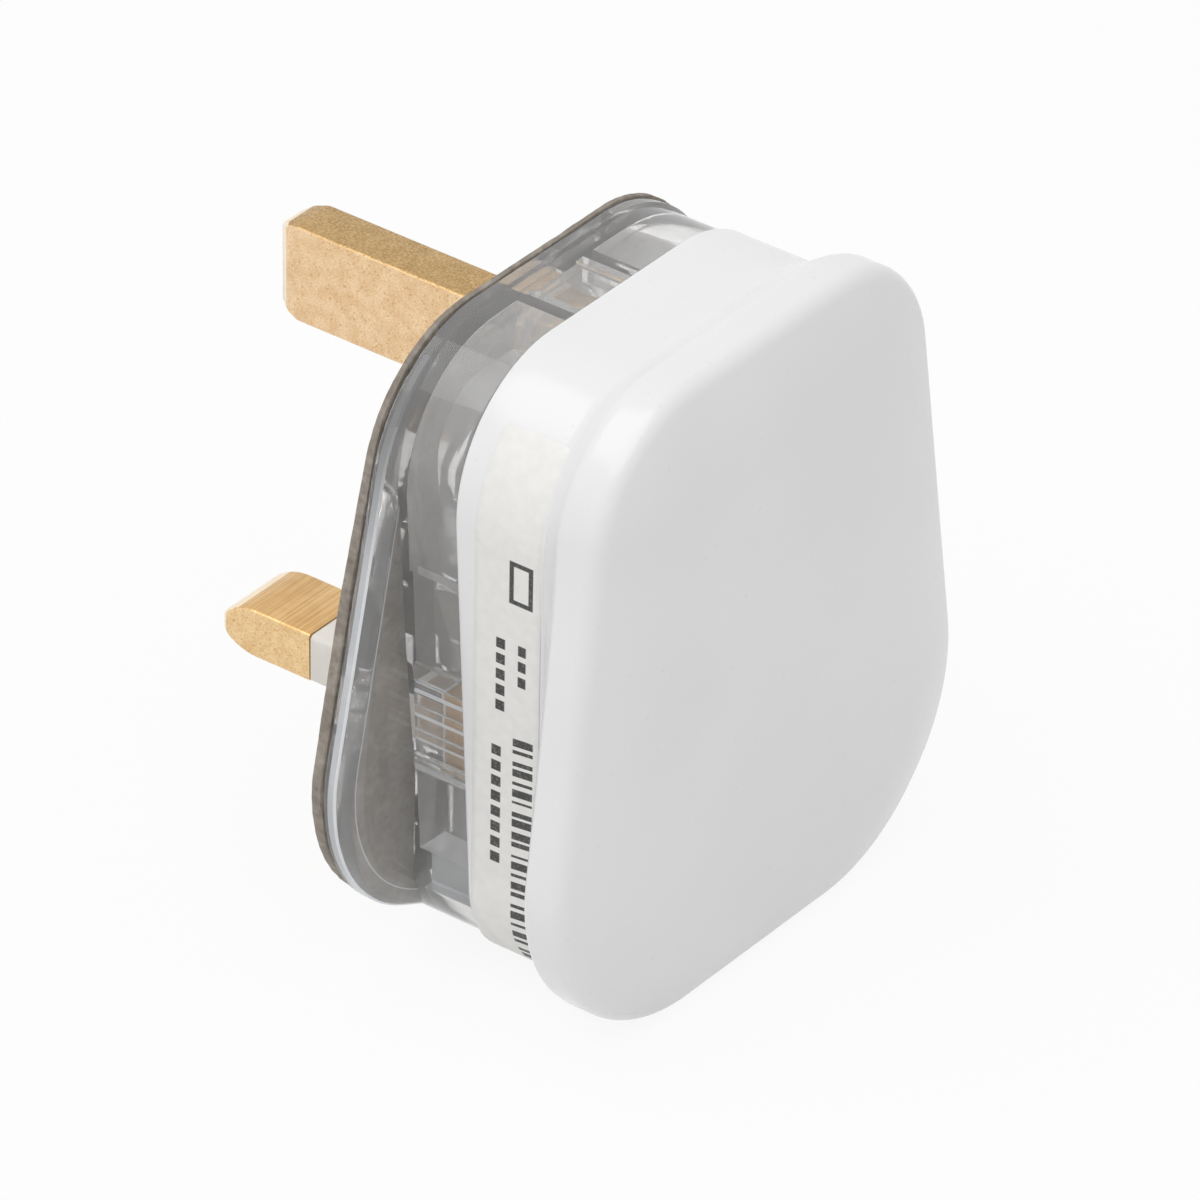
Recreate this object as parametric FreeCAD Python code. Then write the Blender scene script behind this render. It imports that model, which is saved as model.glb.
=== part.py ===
import FreeCAD, Part
import math
import os

# Three pin mains plug to the British pattern, standing on its cord end.
# X runs to the right seen from the cover, Y points along the pins into the wall, Z is up.
# The origin lies on the base's wall face, midway between the earth pin and the line of the other two.

# Pins
pin_pitch = 22.23
earth_pin_thick = 3.98
earth_pin_tall = 7.95
earth_pin_length = 22.3
line_pin_wide = 6.35
line_pin_thick = 3.98
line_pin_length = 17.7
pin_edge = 0.25
earth_nose_length = 1.9
earth_nose_shoulder = 0.8
earth_nose_inset = 0.75
earth_shoulder_inset = 0.28
line_nose_length = 3.4
line_nose_tip = 0.8
line_nose_corner = 0.9
sleeve_length = 9.3
sleeve_wall = 0.55
sleeve_root = 1.5
sleeve_fit = 0.02

# Depths from the wall face towards the hand
base_depth = 6.9
plug_depth = 22.1
base_floor = 4.0
cover_front = 2.4
wall = 2.0

# Walls round the terminals and the fuse: room over them, taper of the sides, and the foot's drop
top_room = 1.815
side_tuck = 0.415
side_flare = 2.3
foot_drop = 20.285
body_side_up = 5.8
body_foot_up = 0.7
body_foot_in = 4.1
body_radii = (10.3, 8.0, 8.0)

# Flange and lip, measured from the walls and the foot
flange_top_in = 1.8
flange_top_up = 0.5
flange_side_out = 10.5
flange_side_up = 9.1
flange_foot_in = 9.1
flange_radii = (11.0, 13.8, 12.0)
lip_top_in = 0.9
lip_top_up = 1.6
lip_side_out = 7.2
lip_side_up = 10.3
lip_foot_in = 1.8
lip_radii = (10.7, 14.5, 14.5)

# Flange rim and the finger recess behind it
rim_edge = 0.9
rim_bevel = 0.5
rim_strip = 1.9
rim_slope = 0.3
scoop_rise = 1.3
scoop_reach = 7.0

# Cover
cover_proud = 0.35
lip_rear = 18.3
lip_cove = 3.3
lip_bury = 0.4
lip_round = 2.9
joint_gap = 0.05

# Tabs on the base that locate the cover from inside
tab_rise = 1.6
tab_thick = 1.0
tab_fit = 0.15
side_tab_long = 8.0
top_tab_long = 5.0

# Terminal heads on the pins and their screws
pin_fit = 0.06
seat_gap = 0.03
head_wide = 6.8
head_tall = 6.6
earth_head_wide = 6.2
earth_head_tall = 7.0
head_rise = 6.6
head_chamfer = 0.5
wire_hole_radius = 1.6
wire_hole_rise = 2.6
screw_radius = 1.5
screw_fit = 0.05
screw_head_radius = 2.5
screw_head_tall = 1.8
screw_slot_wide = 0.8
screw_slot_deep = 0.9

# Fuse and its clips
fuse_length = 25.4
fuse_radius = 3.175
fuse_cap_length = 5.6
fuse_cap_wall = 0.3
fuse_body_gap = 0.03
clip_thick = 0.6
clip_length = 5.2
clip_fit = 0.05
clip_mouth = 4.6
clip_foot_half = 2.6
clip_wall_gap = 0.35
live_head_rise = 1.2
line_block_wide = 5.0
line_block_tall = 3.7
line_block_rise = 6.0
line_block_gap = 0.4
line_block_shift = 2.2
line_strip_margin = 0.2
line_hole_radius = 0.95
line_screw_radius = 1.3
line_screw_head_radius = 1.75

# Screw that closes the plug, entered from the pin side
closing_z = -2.0
closing_radius = 1.9
closing_head_radius = 3.3
closing_head_tall = 1.8
closing_head_sunk = 0.35
closing_tip = 3.2
closing_fit = 0.2
column_radius = 3.7
boss_radius = 4.4
boss_gap = 0.3
nut_flats = 6.0
nut_tall = 2.4
nut_fit = 0.06

# Cord entry and grip
cord_hole_radius = 4.4
grip_up = 8.9
grip_post_x = 8.3
grip_post_wide = 4.6
grip_post_tall = 5.0
grip_post_rise = 5.1
grip_half_length = 11.0
grip_wide = 5.0
grip_thick = 3.0
grip_arch = 1.2
grip_corner = 1.2
grip_screw_radius = 1.4
grip_screw_length = 8.0
grip_screw_head_radius = 2.3
grip_screw_head_tall = 1.6

# Moulded ribs inside the clear base
rib_thick = 1.1
rib_rise = 2.8
rib_gap = 0.15
wall_rib_count = 4
wall_rib_pitch = 2.1
post_side = 3.4
post_x = 13.2
post_up = 7.4

# Grey wiring card over the pins, and the paper strip on the cover's side wall
card_thick = 0.9
card_inset = 0.25
card_gap = 0.25
card_hole_gap = 0.35
paper_thick = 0.15
paper_gap = 0.03
paper_top_drop = 2.6
paper_end_x = -12.2
paper_margin = 1.5
paper_wide = 5.85
paper_tilt_deg = 2.7

# How far cutting shapes reach past the face they open, and how deep ribs are rooted
over = 1.0
root = 1.0

# Places worked out from the sizes above
joint_y = -base_depth
face_y = -plug_depth
floor_y = -base_floor
ceiling_y = face_y + cover_front
earth_z = pin_pitch / 2
line_z = -pin_pitch / 2
line_x = pin_pitch / 2
head_y = floor_y - seat_gap
clip_y = head_y - live_head_rise
fuse_y = clip_y - clip_thick - clip_fit - fuse_radius
fuse_low_z = line_z - fuse_cap_length / 2
fuse_high_z = fuse_low_z + fuse_length
fuse_top_cap_z = fuse_high_z - fuse_cap_length / 2
line_block_z = fuse_high_z + line_block_gap + line_block_tall / 2
line_block_seat_y = clip_y - clip_thick - seat_gap
foot_z = line_z - foot_drop
top_z = max(line_block_z + line_block_tall / 2, earth_z + earth_head_tall / 2) + wall + top_room
earth_rib_x = earth_head_wide / 2 + rib_gap
clip_reach = fuse_radius + clip_fit + clip_thick + clip_wall_gap + wall
block_reach = earth_rib_x + rib_thick + rib_gap + line_block_wide / 2 + line_block_shift
side_half = max(line_x + head_wide / 2 + wall - side_tuck, block_reach + clip_reach)
top_half = side_half + side_flare
fuse_x = side_half - clip_reach
line_block_x = fuse_x - line_block_shift
grip_z = foot_z + grip_up
post_z = foot_z + post_up
paper_top_z = top_z - paper_top_drop

# Outlines seen from the cover: each is half width, height and corner radius, down the right side
body_outline = [
    (top_half, top_z, body_radii[0]),
    (side_half, foot_z + body_side_up, body_radii[1]),
    (side_half - body_foot_in, foot_z + body_foot_up, body_radii[2]),
]
flange_outline = [
    (top_half - flange_top_in, top_z + flange_top_up, flange_radii[0]),
    (side_half + flange_side_out, foot_z + flange_side_up, flange_radii[1]),
    (side_half - flange_foot_in, foot_z, flange_radii[2]),
]
lip_outline = [
    (top_half - lip_top_in, top_z + lip_top_up, lip_radii[0]),
    (side_half + lip_side_out, foot_z + lip_side_up, lip_radii[1]),
    (side_half - lip_foot_in, foot_z, lip_radii[2]),
]


def vec(x, y, z):
    """A point or direction."""
    return FreeCAD.Vector(x, y, z)


def block(x0, x1, y0, y1, z0, z1):
    """A box between two corners, given in any order."""
    low = vec(min(x0, x1), min(y0, y1), min(z0, z1))
    return Part.makeBox(abs(x1 - x0), abs(y1 - y0), abs(z1 - z0), low)


def rod_y(radius, x, z, y0, y1):
    """A round bar along Y between two depths."""
    return Part.makeCylinder(radius, abs(y1 - y0), vec(x, min(y0, y1), z), vec(0, 1, 0))


def rod_z(radius, x, y, z0, z1):
    """A round bar along Z between two heights."""
    return Part.makeCylinder(radius, abs(z1 - z0), vec(x, y, min(z0, z1)), vec(0, 0, 1))


def rod_x(radius, y, z, x0, x1):
    """A round bar along X between two sides."""
    return Part.makeCylinder(radius, abs(x1 - x0), vec(min(x0, x1), y, z), vec(1, 0, 0))


def grown(outline, distance):
    """The same outline with every edge moved outwards by a distance, or inwards if negative."""
    points = [(0.0, outline[0][1])] + [(x, z) for x, z, _ in outline] + [(0.0, outline[-1][1])]
    lines = []
    for (x0, z0), (x1, z1) in zip(points, points[1:]):
        length = math.hypot(x1 - x0, z1 - z0)
        nx, nz = (z0 - z1) / length, (x1 - x0) / length
        lines.append((nx, nz, x0 * nx + z0 * nz + distance))
    moved = []
    for (ax, az, a), (bx, bz, b), (_, _, radius) in zip(lines, lines[1:], outline):
        cross = ax * bz - az * bx
        moved.append(((a * bz - b * az) / cross, (ax * b - bx * a) / cross, radius + distance))
    return moved


def blended(first, second, share):
    """An outline part of the way from one outline to another."""
    return [
        tuple(a + (b - a) * share for a, b in zip(corner, other))
        for corner, other in zip(first, second)
    ]


def loop(outline, y):
    """The closed wire of an outline, mirrored about X = 0, with its corners rounded."""
    ring = list(outline) + [(-x, z, radius) for x, z, radius in reversed(outline)]
    arcs = []
    for index, (x, z, radius) in enumerate(ring):
        here = vec(x, y, z)
        before = vec(ring[index - 1][0], y, ring[index - 1][1])
        after_corner = ring[(index + 1) % len(ring)]
        after = vec(after_corner[0], y, after_corner[1])
        towards = (before - here).normalize()
        away = (after - here).normalize()
        half_angle = towards.getAngle(away) / 2
        reach = radius / math.tan(half_angle)
        middle = (towards + away).normalize() * (radius / math.sin(half_angle) - radius)
        arcs.append((here + towards * reach, here + middle, here + away * reach))
    edges = []
    for index, (start, middle, end) in enumerate(arcs):
        edges.append(Part.Arc(start, middle, end).toShape())
        following = arcs[(index + 1) % len(arcs)][0]
        edges.append(Part.LineSegment(end, following).toShape())
    return Part.Wire(edges)


def slab(outline, y0, y1):
    """An outline extruded between two depths."""
    return Part.Face(loop(outline, y0)).extrude(vec(0, y1 - y0, 0))


def cove(wide, wide_y, narrow, narrow_y, bands=2):
    """A hollow moulding that sweeps in bands from a wide outline in and along to a narrow one."""
    wires = []
    for index in range(bands + 1):
        angle = math.pi / 2 * index / bands
        y = wide_y + (narrow_y - wide_y) * (1 - math.cos(angle))
        wires.append(loop(blended(wide, narrow, math.sin(angle)), y))
    return Part.makeLoft(wires, True, True)


def rounded_edge(outline, side_y, radius, bands=4):
    """The rounded front of a rim: a quarter turn in bands from its side in to its face."""
    wires = []
    for index in range(bands + 1):
        angle = math.pi / 2 * index / bands
        inset = radius * (1 - math.cos(angle))
        wires.append(loop(grown(outline, -inset), side_y - radius * math.sin(angle)))
    return Part.makeLoft(wires, True, True)


def oblong(wide, tall, corner, x, z, y):
    """A rectangular wire with its corners cut off, across the Y direction."""
    half_w, half_t = wide / 2, tall / 2
    points = []
    for sx, sz in ((1, 1), (1, -1), (-1, -1), (-1, 1)):
        side = vec(x + sx * half_w, y, z + sz * (half_t - corner))
        top = vec(x + sx * (half_w - corner), y, z + sz * half_t)
        points += [top, side] if sx == sz else [side, top]
    return Part.makePolygon(points + points[:1])


def bar(wide, tall, corner, x, z, y0, y1):
    """A rectangular bar along Y with its long edges bevelled."""
    return Part.Face(oblong(wide, tall, corner, x, z, y0)).extrude(vec(0, y1 - y0, 0))


def hexagon(flats, x, z, y0, y1):
    """A hexagonal bar along Y, with two flats facing up and down."""
    reach = flats / math.sqrt(3)
    turns = [math.radians(60 * k) for k in range(7)]
    corners = [vec(x + reach * math.cos(turn), y0, z + reach * math.sin(turn)) for turn in turns]
    return Part.Face(Part.makePolygon(corners)).extrude(vec(0, y1 - y0, 0))


def slotted_screw(x, z, seat_y, tip_y, radius, head_radius, head_tall):
    """A cheese-head screw, its head on one side of its seat and its tip on the other."""
    out = -1 if tip_y > seat_y else 1
    top_y = seat_y + out * head_tall
    head = rod_y(head_radius, x, z, seat_y, top_y)
    half_slot = screw_slot_wide / 2
    slot_y = top_y - out * screw_slot_deep
    slot = block(x - head_radius, x + head_radius, top_y, slot_y, z - half_slot, z + half_slot)
    return head.fuse(rod_y(radius, x, z, seat_y, tip_y)).cut(slot).removeSplitter()


def terminal_head(x, z, wide, tall):
    """The block on a pin's inner end, with its cross hole for the wire and the screw's hole."""
    top_y = head_y - head_rise
    head = block(x - wide / 2, x + wide / 2, head_y, top_y, z - tall / 2, z + tall / 2)
    rims = [edge for edge in head.Edges if abs(edge.BoundBox.YMax - top_y) < 1e-6]
    head = head.makeChamfer(head_chamfer, rims)
    wire_y = head_y - wire_hole_rise
    head = head.cut(rod_z(wire_hole_radius, x, wire_y, z - tall, z + tall))
    return head.cut(rod_y(screw_radius + screw_fit, x, z, wire_y, top_y))


def terminal_screw(x, z):
    """The screw that clamps the wire in a pin's terminal head."""
    seat_y = head_y - head_rise - seat_gap
    tip_y = head_y - wire_hole_rise - wire_hole_radius / 2
    return slotted_screw(x, z, seat_y, tip_y, screw_radius, screw_head_radius, screw_head_tall)


def make_earth_pin():
    """The long upright pin, bevelled in two steps to a blunt nose, with its terminal head."""
    nose_y = earth_pin_length - earth_nose_length
    shank = bar(earth_pin_thick, earth_pin_tall, pin_edge, 0, earth_z, head_y, nose_y)
    profile = [
        (0.0, nose_y),
        (earth_shoulder_inset, earth_pin_length - earth_nose_shoulder),
        (earth_nose_inset, earth_pin_length),
    ]
    sections = [
        oblong(earth_pin_thick - 2 * inset, earth_pin_tall - 2 * inset, pin_edge, 0, earth_z, y)
        for inset, y in profile
    ]
    nose = Part.makeLoft(sections, True, True)
    head = terminal_head(0, earth_z, earth_head_wide, earth_head_tall)
    return shank.fuse([nose, head]).removeSplitter()


def line_pin_blank(x):
    """A flat pin with a bullet nose, waisted where its insulating sleeve sits."""
    half = line_pin_thick / 2
    half_tip = line_nose_tip / 2
    end_y = line_pin_length
    nose_y = end_y - line_nose_length
    drop = half - half_tip
    nose_radius = (line_nose_length ** 2 + drop ** 2) / (2 * drop)
    turn = math.asin(line_nose_length / nose_radius) / 2
    middle_y = nose_y + nose_radius * math.sin(turn)
    middle_z = half - nose_radius * (1 - math.cos(turn))

    def at(y, z):
        return vec(x - line_pin_wide / 2, y, line_z + z)

    profile = Part.Wire(
        [
            Part.LineSegment(at(head_y, -half), at(head_y, half)).toShape(),
            Part.LineSegment(at(head_y, half), at(nose_y, half)).toShape(),
            Part.Arc(at(nose_y, half), at(middle_y, middle_z), at(end_y, half_tip)).toShape(),
            Part.LineSegment(at(end_y, half_tip), at(end_y, -half_tip)).toShape(),
            Part.Arc(at(end_y, -half_tip), at(middle_y, -middle_z), at(nose_y, -half)).toShape(),
            Part.LineSegment(at(nose_y, -half), at(head_y, -half)).toShape(),
        ]
    )
    blank = Part.Face(profile).extrude(vec(line_pin_wide, 0, 0))
    corners = [
        edge
        for edge in blank.Edges
        if edge.BoundBox.YMin > end_y - 1e-6 and edge.BoundBox.ZLength > half_tip
    ]
    blank = blank.makeChamfer(line_nose_corner, corners)
    blank = blank.common(bar(line_pin_wide, line_pin_thick, pin_edge, x, line_z, head_y, end_y))
    left, right = x - line_pin_wide, x + line_pin_wide
    low, high = line_z - line_pin_thick, line_z + line_pin_thick
    waist = block(left, right, -sleeve_root, sleeve_length, low, high)
    core_wide = line_pin_wide - 2 * sleeve_wall
    core_thick = line_pin_thick - 2 * sleeve_wall
    core = bar(core_wide, core_thick, pin_edge, x, line_z, -sleeve_root, sleeve_length)
    return blank.cut(waist).fuse(core)


def make_neutral_pin():
    """The left-hand flat pin with its terminal head."""
    head = terminal_head(-line_x, line_z, head_wide, head_tall)
    return line_pin_blank(-line_x).fuse(head).removeSplitter()


def make_live_pin():
    """The right-hand flat pin, whose low head carries the fuse's lower clip."""
    left, right = line_x - head_wide / 2, line_x + head_wide / 2
    head = block(left, right, head_y, clip_y, line_z - head_tall / 2, line_z + head_tall / 2)
    return line_pin_blank(line_x).fuse(head).removeSplitter()


def make_sleeve(x):
    """The insulating sleeve round a flat pin's root, flush with the pin."""
    start_y = -sleeve_root + sleeve_fit
    end_y = sleeve_length - sleeve_fit
    outer = bar(line_pin_wide, line_pin_thick, pin_edge, x, line_z, start_y, end_y)
    bore_wide = line_pin_wide - 2 * sleeve_wall + 2 * sleeve_fit
    bore_thick = line_pin_thick - 2 * sleeve_wall + 2 * sleeve_fit
    return outer.cut(bar(bore_wide, bore_thick, pin_edge, x, line_z, start_y - over, end_y + over))


def pin_slots(gap, y0, y1):
    """The three openings that the pins pass through, with a gap all round."""
    wide, tall = line_pin_wide + 2 * gap, line_pin_thick + 2 * gap
    return [
        bar(earth_pin_thick + 2 * gap, earth_pin_tall + 2 * gap, pin_edge, 0, earth_z, y0, y1),
        bar(wide, tall, pin_edge, -line_x, line_z, y0, y1),
        bar(wide, tall, pin_edge, line_x, line_z, y0, y1),
    ]


def clip_ring(z):
    """A spring ring open to the hand, on a flat foot, that grips one fuse cap."""
    inner = fuse_radius + clip_fit
    outer = inner + clip_thick
    low, high = z - clip_length / 2, z + clip_length / 2
    ring = rod_z(outer, fuse_x, fuse_y, low, high)
    left, right = fuse_x - clip_foot_half, fuse_x + clip_foot_half
    foot = block(left, right, clip_y, clip_y - clip_thick, low, high)
    hollow = rod_z(inner, fuse_x, fuse_y, low - over, high + over)
    half_mouth = clip_mouth / 2
    mouth = block(
        fuse_x - half_mouth, fuse_x + half_mouth, fuse_y, fuse_y - 2 * outer, low - over, high + over
    )
    return ring.fuse(foot).cut(hollow).cut(mouth).removeSplitter()


def make_upper_clip():
    """The clip at the fuse's other end, with a strip that runs up under the live wire's block."""
    reach = line_block_wide / 2 + line_strip_margin
    strip = block(
        line_block_x - reach,
        line_block_x + reach,
        clip_y,
        clip_y - clip_thick,
        fuse_top_cap_z - clip_length / 2,
        line_block_z + line_block_tall / 2 + line_strip_margin,
    )
    hollow = rod_z(fuse_radius + clip_fit, fuse_x, fuse_y, fuse_low_z, fuse_high_z + line_block_gap)
    return clip_ring(fuse_top_cap_z).fuse(strip.cut(hollow)).removeSplitter()


def make_line_block():
    """The block that takes the live wire, with its cross hole and the screw's hole."""
    top_y = line_block_seat_y - line_block_rise
    half_wide, half_tall = line_block_wide / 2, line_block_tall / 2
    left, right = line_block_x - half_wide, line_block_x + half_wide
    body = block(left, right, line_block_seat_y, top_y, line_block_z - half_tall, line_block_z + half_tall)
    wire_y = line_block_seat_y - wire_hole_rise
    body = body.cut(rod_x(line_hole_radius, wire_y, line_block_z, left - over, right + over))
    return body.cut(rod_y(line_screw_radius + screw_fit, line_block_x, line_block_z, wire_y, top_y))


def make_line_screw():
    """The screw that clamps the live wire."""
    seat_y = line_block_seat_y - line_block_rise - seat_gap
    tip_y = line_block_seat_y - wire_hole_rise - line_hole_radius / 2
    return slotted_screw(
        line_block_x, line_block_z, seat_y, tip_y, line_screw_radius, line_screw_head_radius, screw_head_tall
    )


def make_fuse_body():
    """The ceramic barrel of the cartridge fuse, which runs on inside its caps."""
    margin = fuse_cap_wall + fuse_body_gap
    return rod_z(fuse_radius - margin, fuse_x, fuse_y, fuse_low_z + margin, fuse_high_z - margin)


def make_fuse_cap(closed_z, open_z):
    """A metal cup over one end of the fuse."""
    towards = 1 if open_z > closed_z else -1
    cup = rod_z(fuse_radius, fuse_x, fuse_y, closed_z, open_z)
    bottom_z = closed_z + towards * fuse_cap_wall
    return cup.cut(rod_z(fuse_radius - fuse_cap_wall, fuse_x, fuse_y, bottom_z, open_z + towards * over))


def base_skin():
    """The clear base's outer form: rim, finger recess and the walls up to the joint."""
    bevelled = grown(flange_outline, -rim_bevel)
    strip = grown(flange_outline, -rim_bevel - rim_strip)
    bevel_y = -rim_edge - rim_bevel
    strip_y = bevel_y - rim_slope
    rim = slab(flange_outline, 0, -rim_edge)
    edge_loops = [loop(flange_outline, -rim_edge), loop(bevelled, bevel_y), loop(strip, strip_y)]
    edge = Part.makeLoft(edge_loops, True, True)
    recess = cove(strip, strip_y, grown(strip, -scoop_reach), strip_y - scoop_rise)
    return slab(body_outline, 0, joint_y).fuse([rim, edge, recess])


def base_ribs():
    """The ribs and corner posts that stand on the clear base's floor."""
    root_y = floor_y + root
    rib_y = floor_y - rib_rise
    half_post = post_side / 2
    earth_rib_low = earth_z - earth_head_tall / 2
    ribs = []
    for side in (-1, 1):
        near, far = side * earth_rib_x, side * (earth_rib_x + rib_thick)
        ribs.append(block(near, far, root_y, rib_y, earth_rib_low, body_outline[0][1]))
        left, right = side * post_x - half_post, side * post_x + half_post
        ribs.append(block(left, right, root_y, rib_y, post_z - half_post, post_z + half_post))
    rib_x = -line_x - head_wide / 2 - rib_gap
    for index in range(wall_rib_count):
        low = line_z + (index - (wall_rib_count - 1) / 2) * wall_rib_pitch - rib_thick / 2
        ribs.append(block(rib_x, -body_outline[0][0], root_y, rib_y, low, low + rib_thick))
    return ribs


def base_supports():
    """The column round the closing screw, the grip's posts and the seats under clip and fuse."""
    root_y = floor_y + root
    supports = [rod_y(column_radius, 0, closing_z, root_y, joint_y)]
    for side in (-1, 1):
        left, right = side * grip_post_x - grip_post_wide / 2, side * grip_post_x + grip_post_wide / 2
        low, high = grip_z - grip_post_tall / 2, grip_z + grip_post_tall / 2
        supports.append(block(left, right, root_y, floor_y - grip_post_rise, low, high))
    shelf_left = line_block_x - line_block_wide / 2
    shelf_right = fuse_x + clip_foot_half
    shelf_low = fuse_top_cap_z - clip_length / 2
    shelf_high = line_block_z + line_block_tall / 2
    supports.append(block(shelf_left, shelf_right, root_y, clip_y + seat_gap, shelf_low, shelf_high))
    middle_z = (fuse_low_z + fuse_high_z) / 2
    left, right = fuse_x - fuse_radius, fuse_x + fuse_radius
    low, high = middle_z - rib_thick / 2, middle_z + rib_thick / 2
    cradle = block(left, right, root_y, fuse_y + fuse_radius / 2, low, high)
    supports.append(cradle.cut(rod_z(fuse_radius, fuse_x, fuse_y, fuse_low_z, fuse_high_z)))
    return supports


def base_tabs():
    """The tabs that stand up along the walls and locate the cover."""
    outer = grown(body_outline, cover_proud - wall - tab_fit)
    inner = grown(outer, -tab_thick)
    tip_y = joint_y - tab_rise
    ring = slab(outer, floor_y + root, tip_y).cut(slab(inner, over, tip_y - over))
    far_x = body_outline[0][0]
    half_side, half_top = side_tab_long / 2, top_tab_long / 2
    sides = block(-far_x, far_x, over, tip_y, closing_z - half_side, closing_z + half_side)
    top = block(-half_top, half_top, over, tip_y, earth_z, body_outline[0][1])
    return [ring.common(sides), ring.common(top)]


def cord_hole():
    """The round opening at the foot, half in the base and half in the cover."""
    return rod_z(cord_hole_radius, 0, joint_y, foot_z - over, body_outline[2][1] + 2 * wall)


def make_base():
    """The clear moulding that carries the pins."""
    inner = grown(body_outline, -wall)
    shell = base_skin().cut(slab(inner, floor_y, joint_y - over))
    ribs = Part.makeCompound(base_ribs()).common(slab(grown(body_outline, -wall / 2), 0, joint_y))
    shell = shell.fuse([ribs] + base_supports() + base_tabs())
    bores = pin_slots(pin_fit, over, floor_y - over)
    bores.append(rod_y(closing_radius + closing_fit, 0, closing_z, over, joint_y - over))
    recess_y = -closing_head_sunk - closing_head_tall - seat_gap
    bores.append(rod_y(closing_head_radius + closing_fit, 0, closing_z, over, recess_y))
    post_top_y = floor_y - grip_post_rise
    bore_y = post_top_y + grip_screw_length - grip_thick
    for side in (-1, 1):
        bore_x = side * grip_post_x
        bores.append(rod_y(grip_screw_radius + screw_fit, bore_x, grip_z, post_top_y - over, bore_y))
    bores.append(cord_hole())
    return shell.cut(bores).removeSplitter()


def make_cover():
    """The white cap with its wide lip, a boss for the nut and half of the cord opening."""
    outer = grown(body_outline, cover_proud)
    lip_side_y = face_y + lip_round
    lip = slab(lip_outline, -lip_rear, lip_side_y).fuse(rounded_edge(lip_outline, lip_side_y, lip_round))
    flare = cove(lip_outline, -lip_rear, grown(outer, -lip_bury), -lip_rear + lip_cove)
    shell = slab(outer, joint_y - joint_gap, -lip_rear).fuse([lip, flare])
    shell = shell.cut(slab(grown(outer, -wall), joint_y + over, ceiling_y))
    boss_y = joint_y - boss_gap
    shell = shell.fuse(rod_y(boss_radius, 0, closing_z, ceiling_y - cover_front / 2, boss_y))
    nut_bed = hexagon(nut_flats + 2 * nut_fit, 0, closing_z, boss_y + over, boss_y - nut_tall - nut_fit)
    tip_y = boss_y - nut_tall - closing_tip - closing_fit
    tip_room = rod_y(closing_radius + closing_fit, 0, closing_z, boss_y, tip_y)
    return shell.cut([nut_bed, tip_room, cord_hole()]).removeSplitter()


def make_closing_screw():
    """The screw that enters from the pin side and draws the cover on."""
    seat_y = -closing_head_sunk - closing_head_tall
    tip_y = joint_y - boss_gap - nut_tall - closing_tip
    return slotted_screw(0, closing_z, seat_y, tip_y, closing_radius, closing_head_radius, closing_head_tall)


def make_nut():
    """The hexagonal nut held in the cover's boss."""
    start_y = joint_y - boss_gap - nut_fit
    end_y = start_y - nut_tall + nut_fit
    nut = hexagon(nut_flats, 0, closing_z, start_y, end_y)
    return nut.cut(rod_y(closing_radius + screw_fit, 0, closing_z, start_y + over, end_y - over))


def make_cord_grip():
    """The bar that clamps the cord, arched over it, on two posts."""
    seat_y = floor_y - grip_post_rise - seat_gap
    top_y = seat_y - grip_thick
    body = bar(2 * grip_half_length, grip_wide, grip_corner, 0, grip_z, seat_y, top_y)
    arch_radius = (cord_hole_radius ** 2 + grip_arch ** 2) / (2 * grip_arch)
    arch_y = seat_y + arch_radius - grip_arch
    cuts = [rod_z(arch_radius, 0, arch_y, grip_z - grip_wide, grip_z + grip_wide)]
    for side in (-1, 1):
        hole_x = side * grip_post_x
        cuts.append(rod_y(grip_screw_radius + screw_fit, hole_x, grip_z, seat_y + over, top_y - over))
    return body.cut(cuts)


def make_grip_screws():
    """The two screws of the cord grip."""
    seat_y = floor_y - grip_post_rise - 2 * seat_gap - grip_thick
    tip_y = seat_y + grip_screw_length
    screws = []
    for side in (-1, 1):
        screws.append(
            slotted_screw(
                side * grip_post_x,
                grip_z,
                seat_y,
                tip_y,
                grip_screw_radius,
                grip_screw_head_radius,
                grip_screw_head_tall,
            )
        )
    return Part.makeCompound(screws)


def make_card():
    """The grey card slipped over the pins against the wall face."""
    far_y = card_gap + card_thick
    card = slab(grown(flange_outline, -card_inset), card_gap, far_y)
    holes = pin_slots(card_hole_gap, card_gap - over, far_y + over)
    hole_radius = closing_head_radius + card_hole_gap
    holes.append(rod_y(hole_radius, 0, closing_z, card_gap - over, far_y + over))
    return card.cut(holes)


def make_paper():
    """The paper strip on the left side wall, a little askew, turned round both of its corners."""
    start_y = joint_y - paper_margin
    end_y = start_y - paper_wide
    inner = grown(body_outline, cover_proud + paper_gap)
    outer = grown(inner, paper_thick)
    skin = slab(outer, joint_y - joint_gap, -lip_rear).cut(slab(inner, joint_y + over, -lip_rear - over))
    strip = block(paper_end_x, -2 * body_outline[0][0], start_y, end_y, paper_top_z, 2 * foot_z)
    strip.rotate(vec(0, (start_y + end_y) / 2, 0), vec(1, 0, 0), paper_tilt_deg)
    return skin.common(strip)


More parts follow.
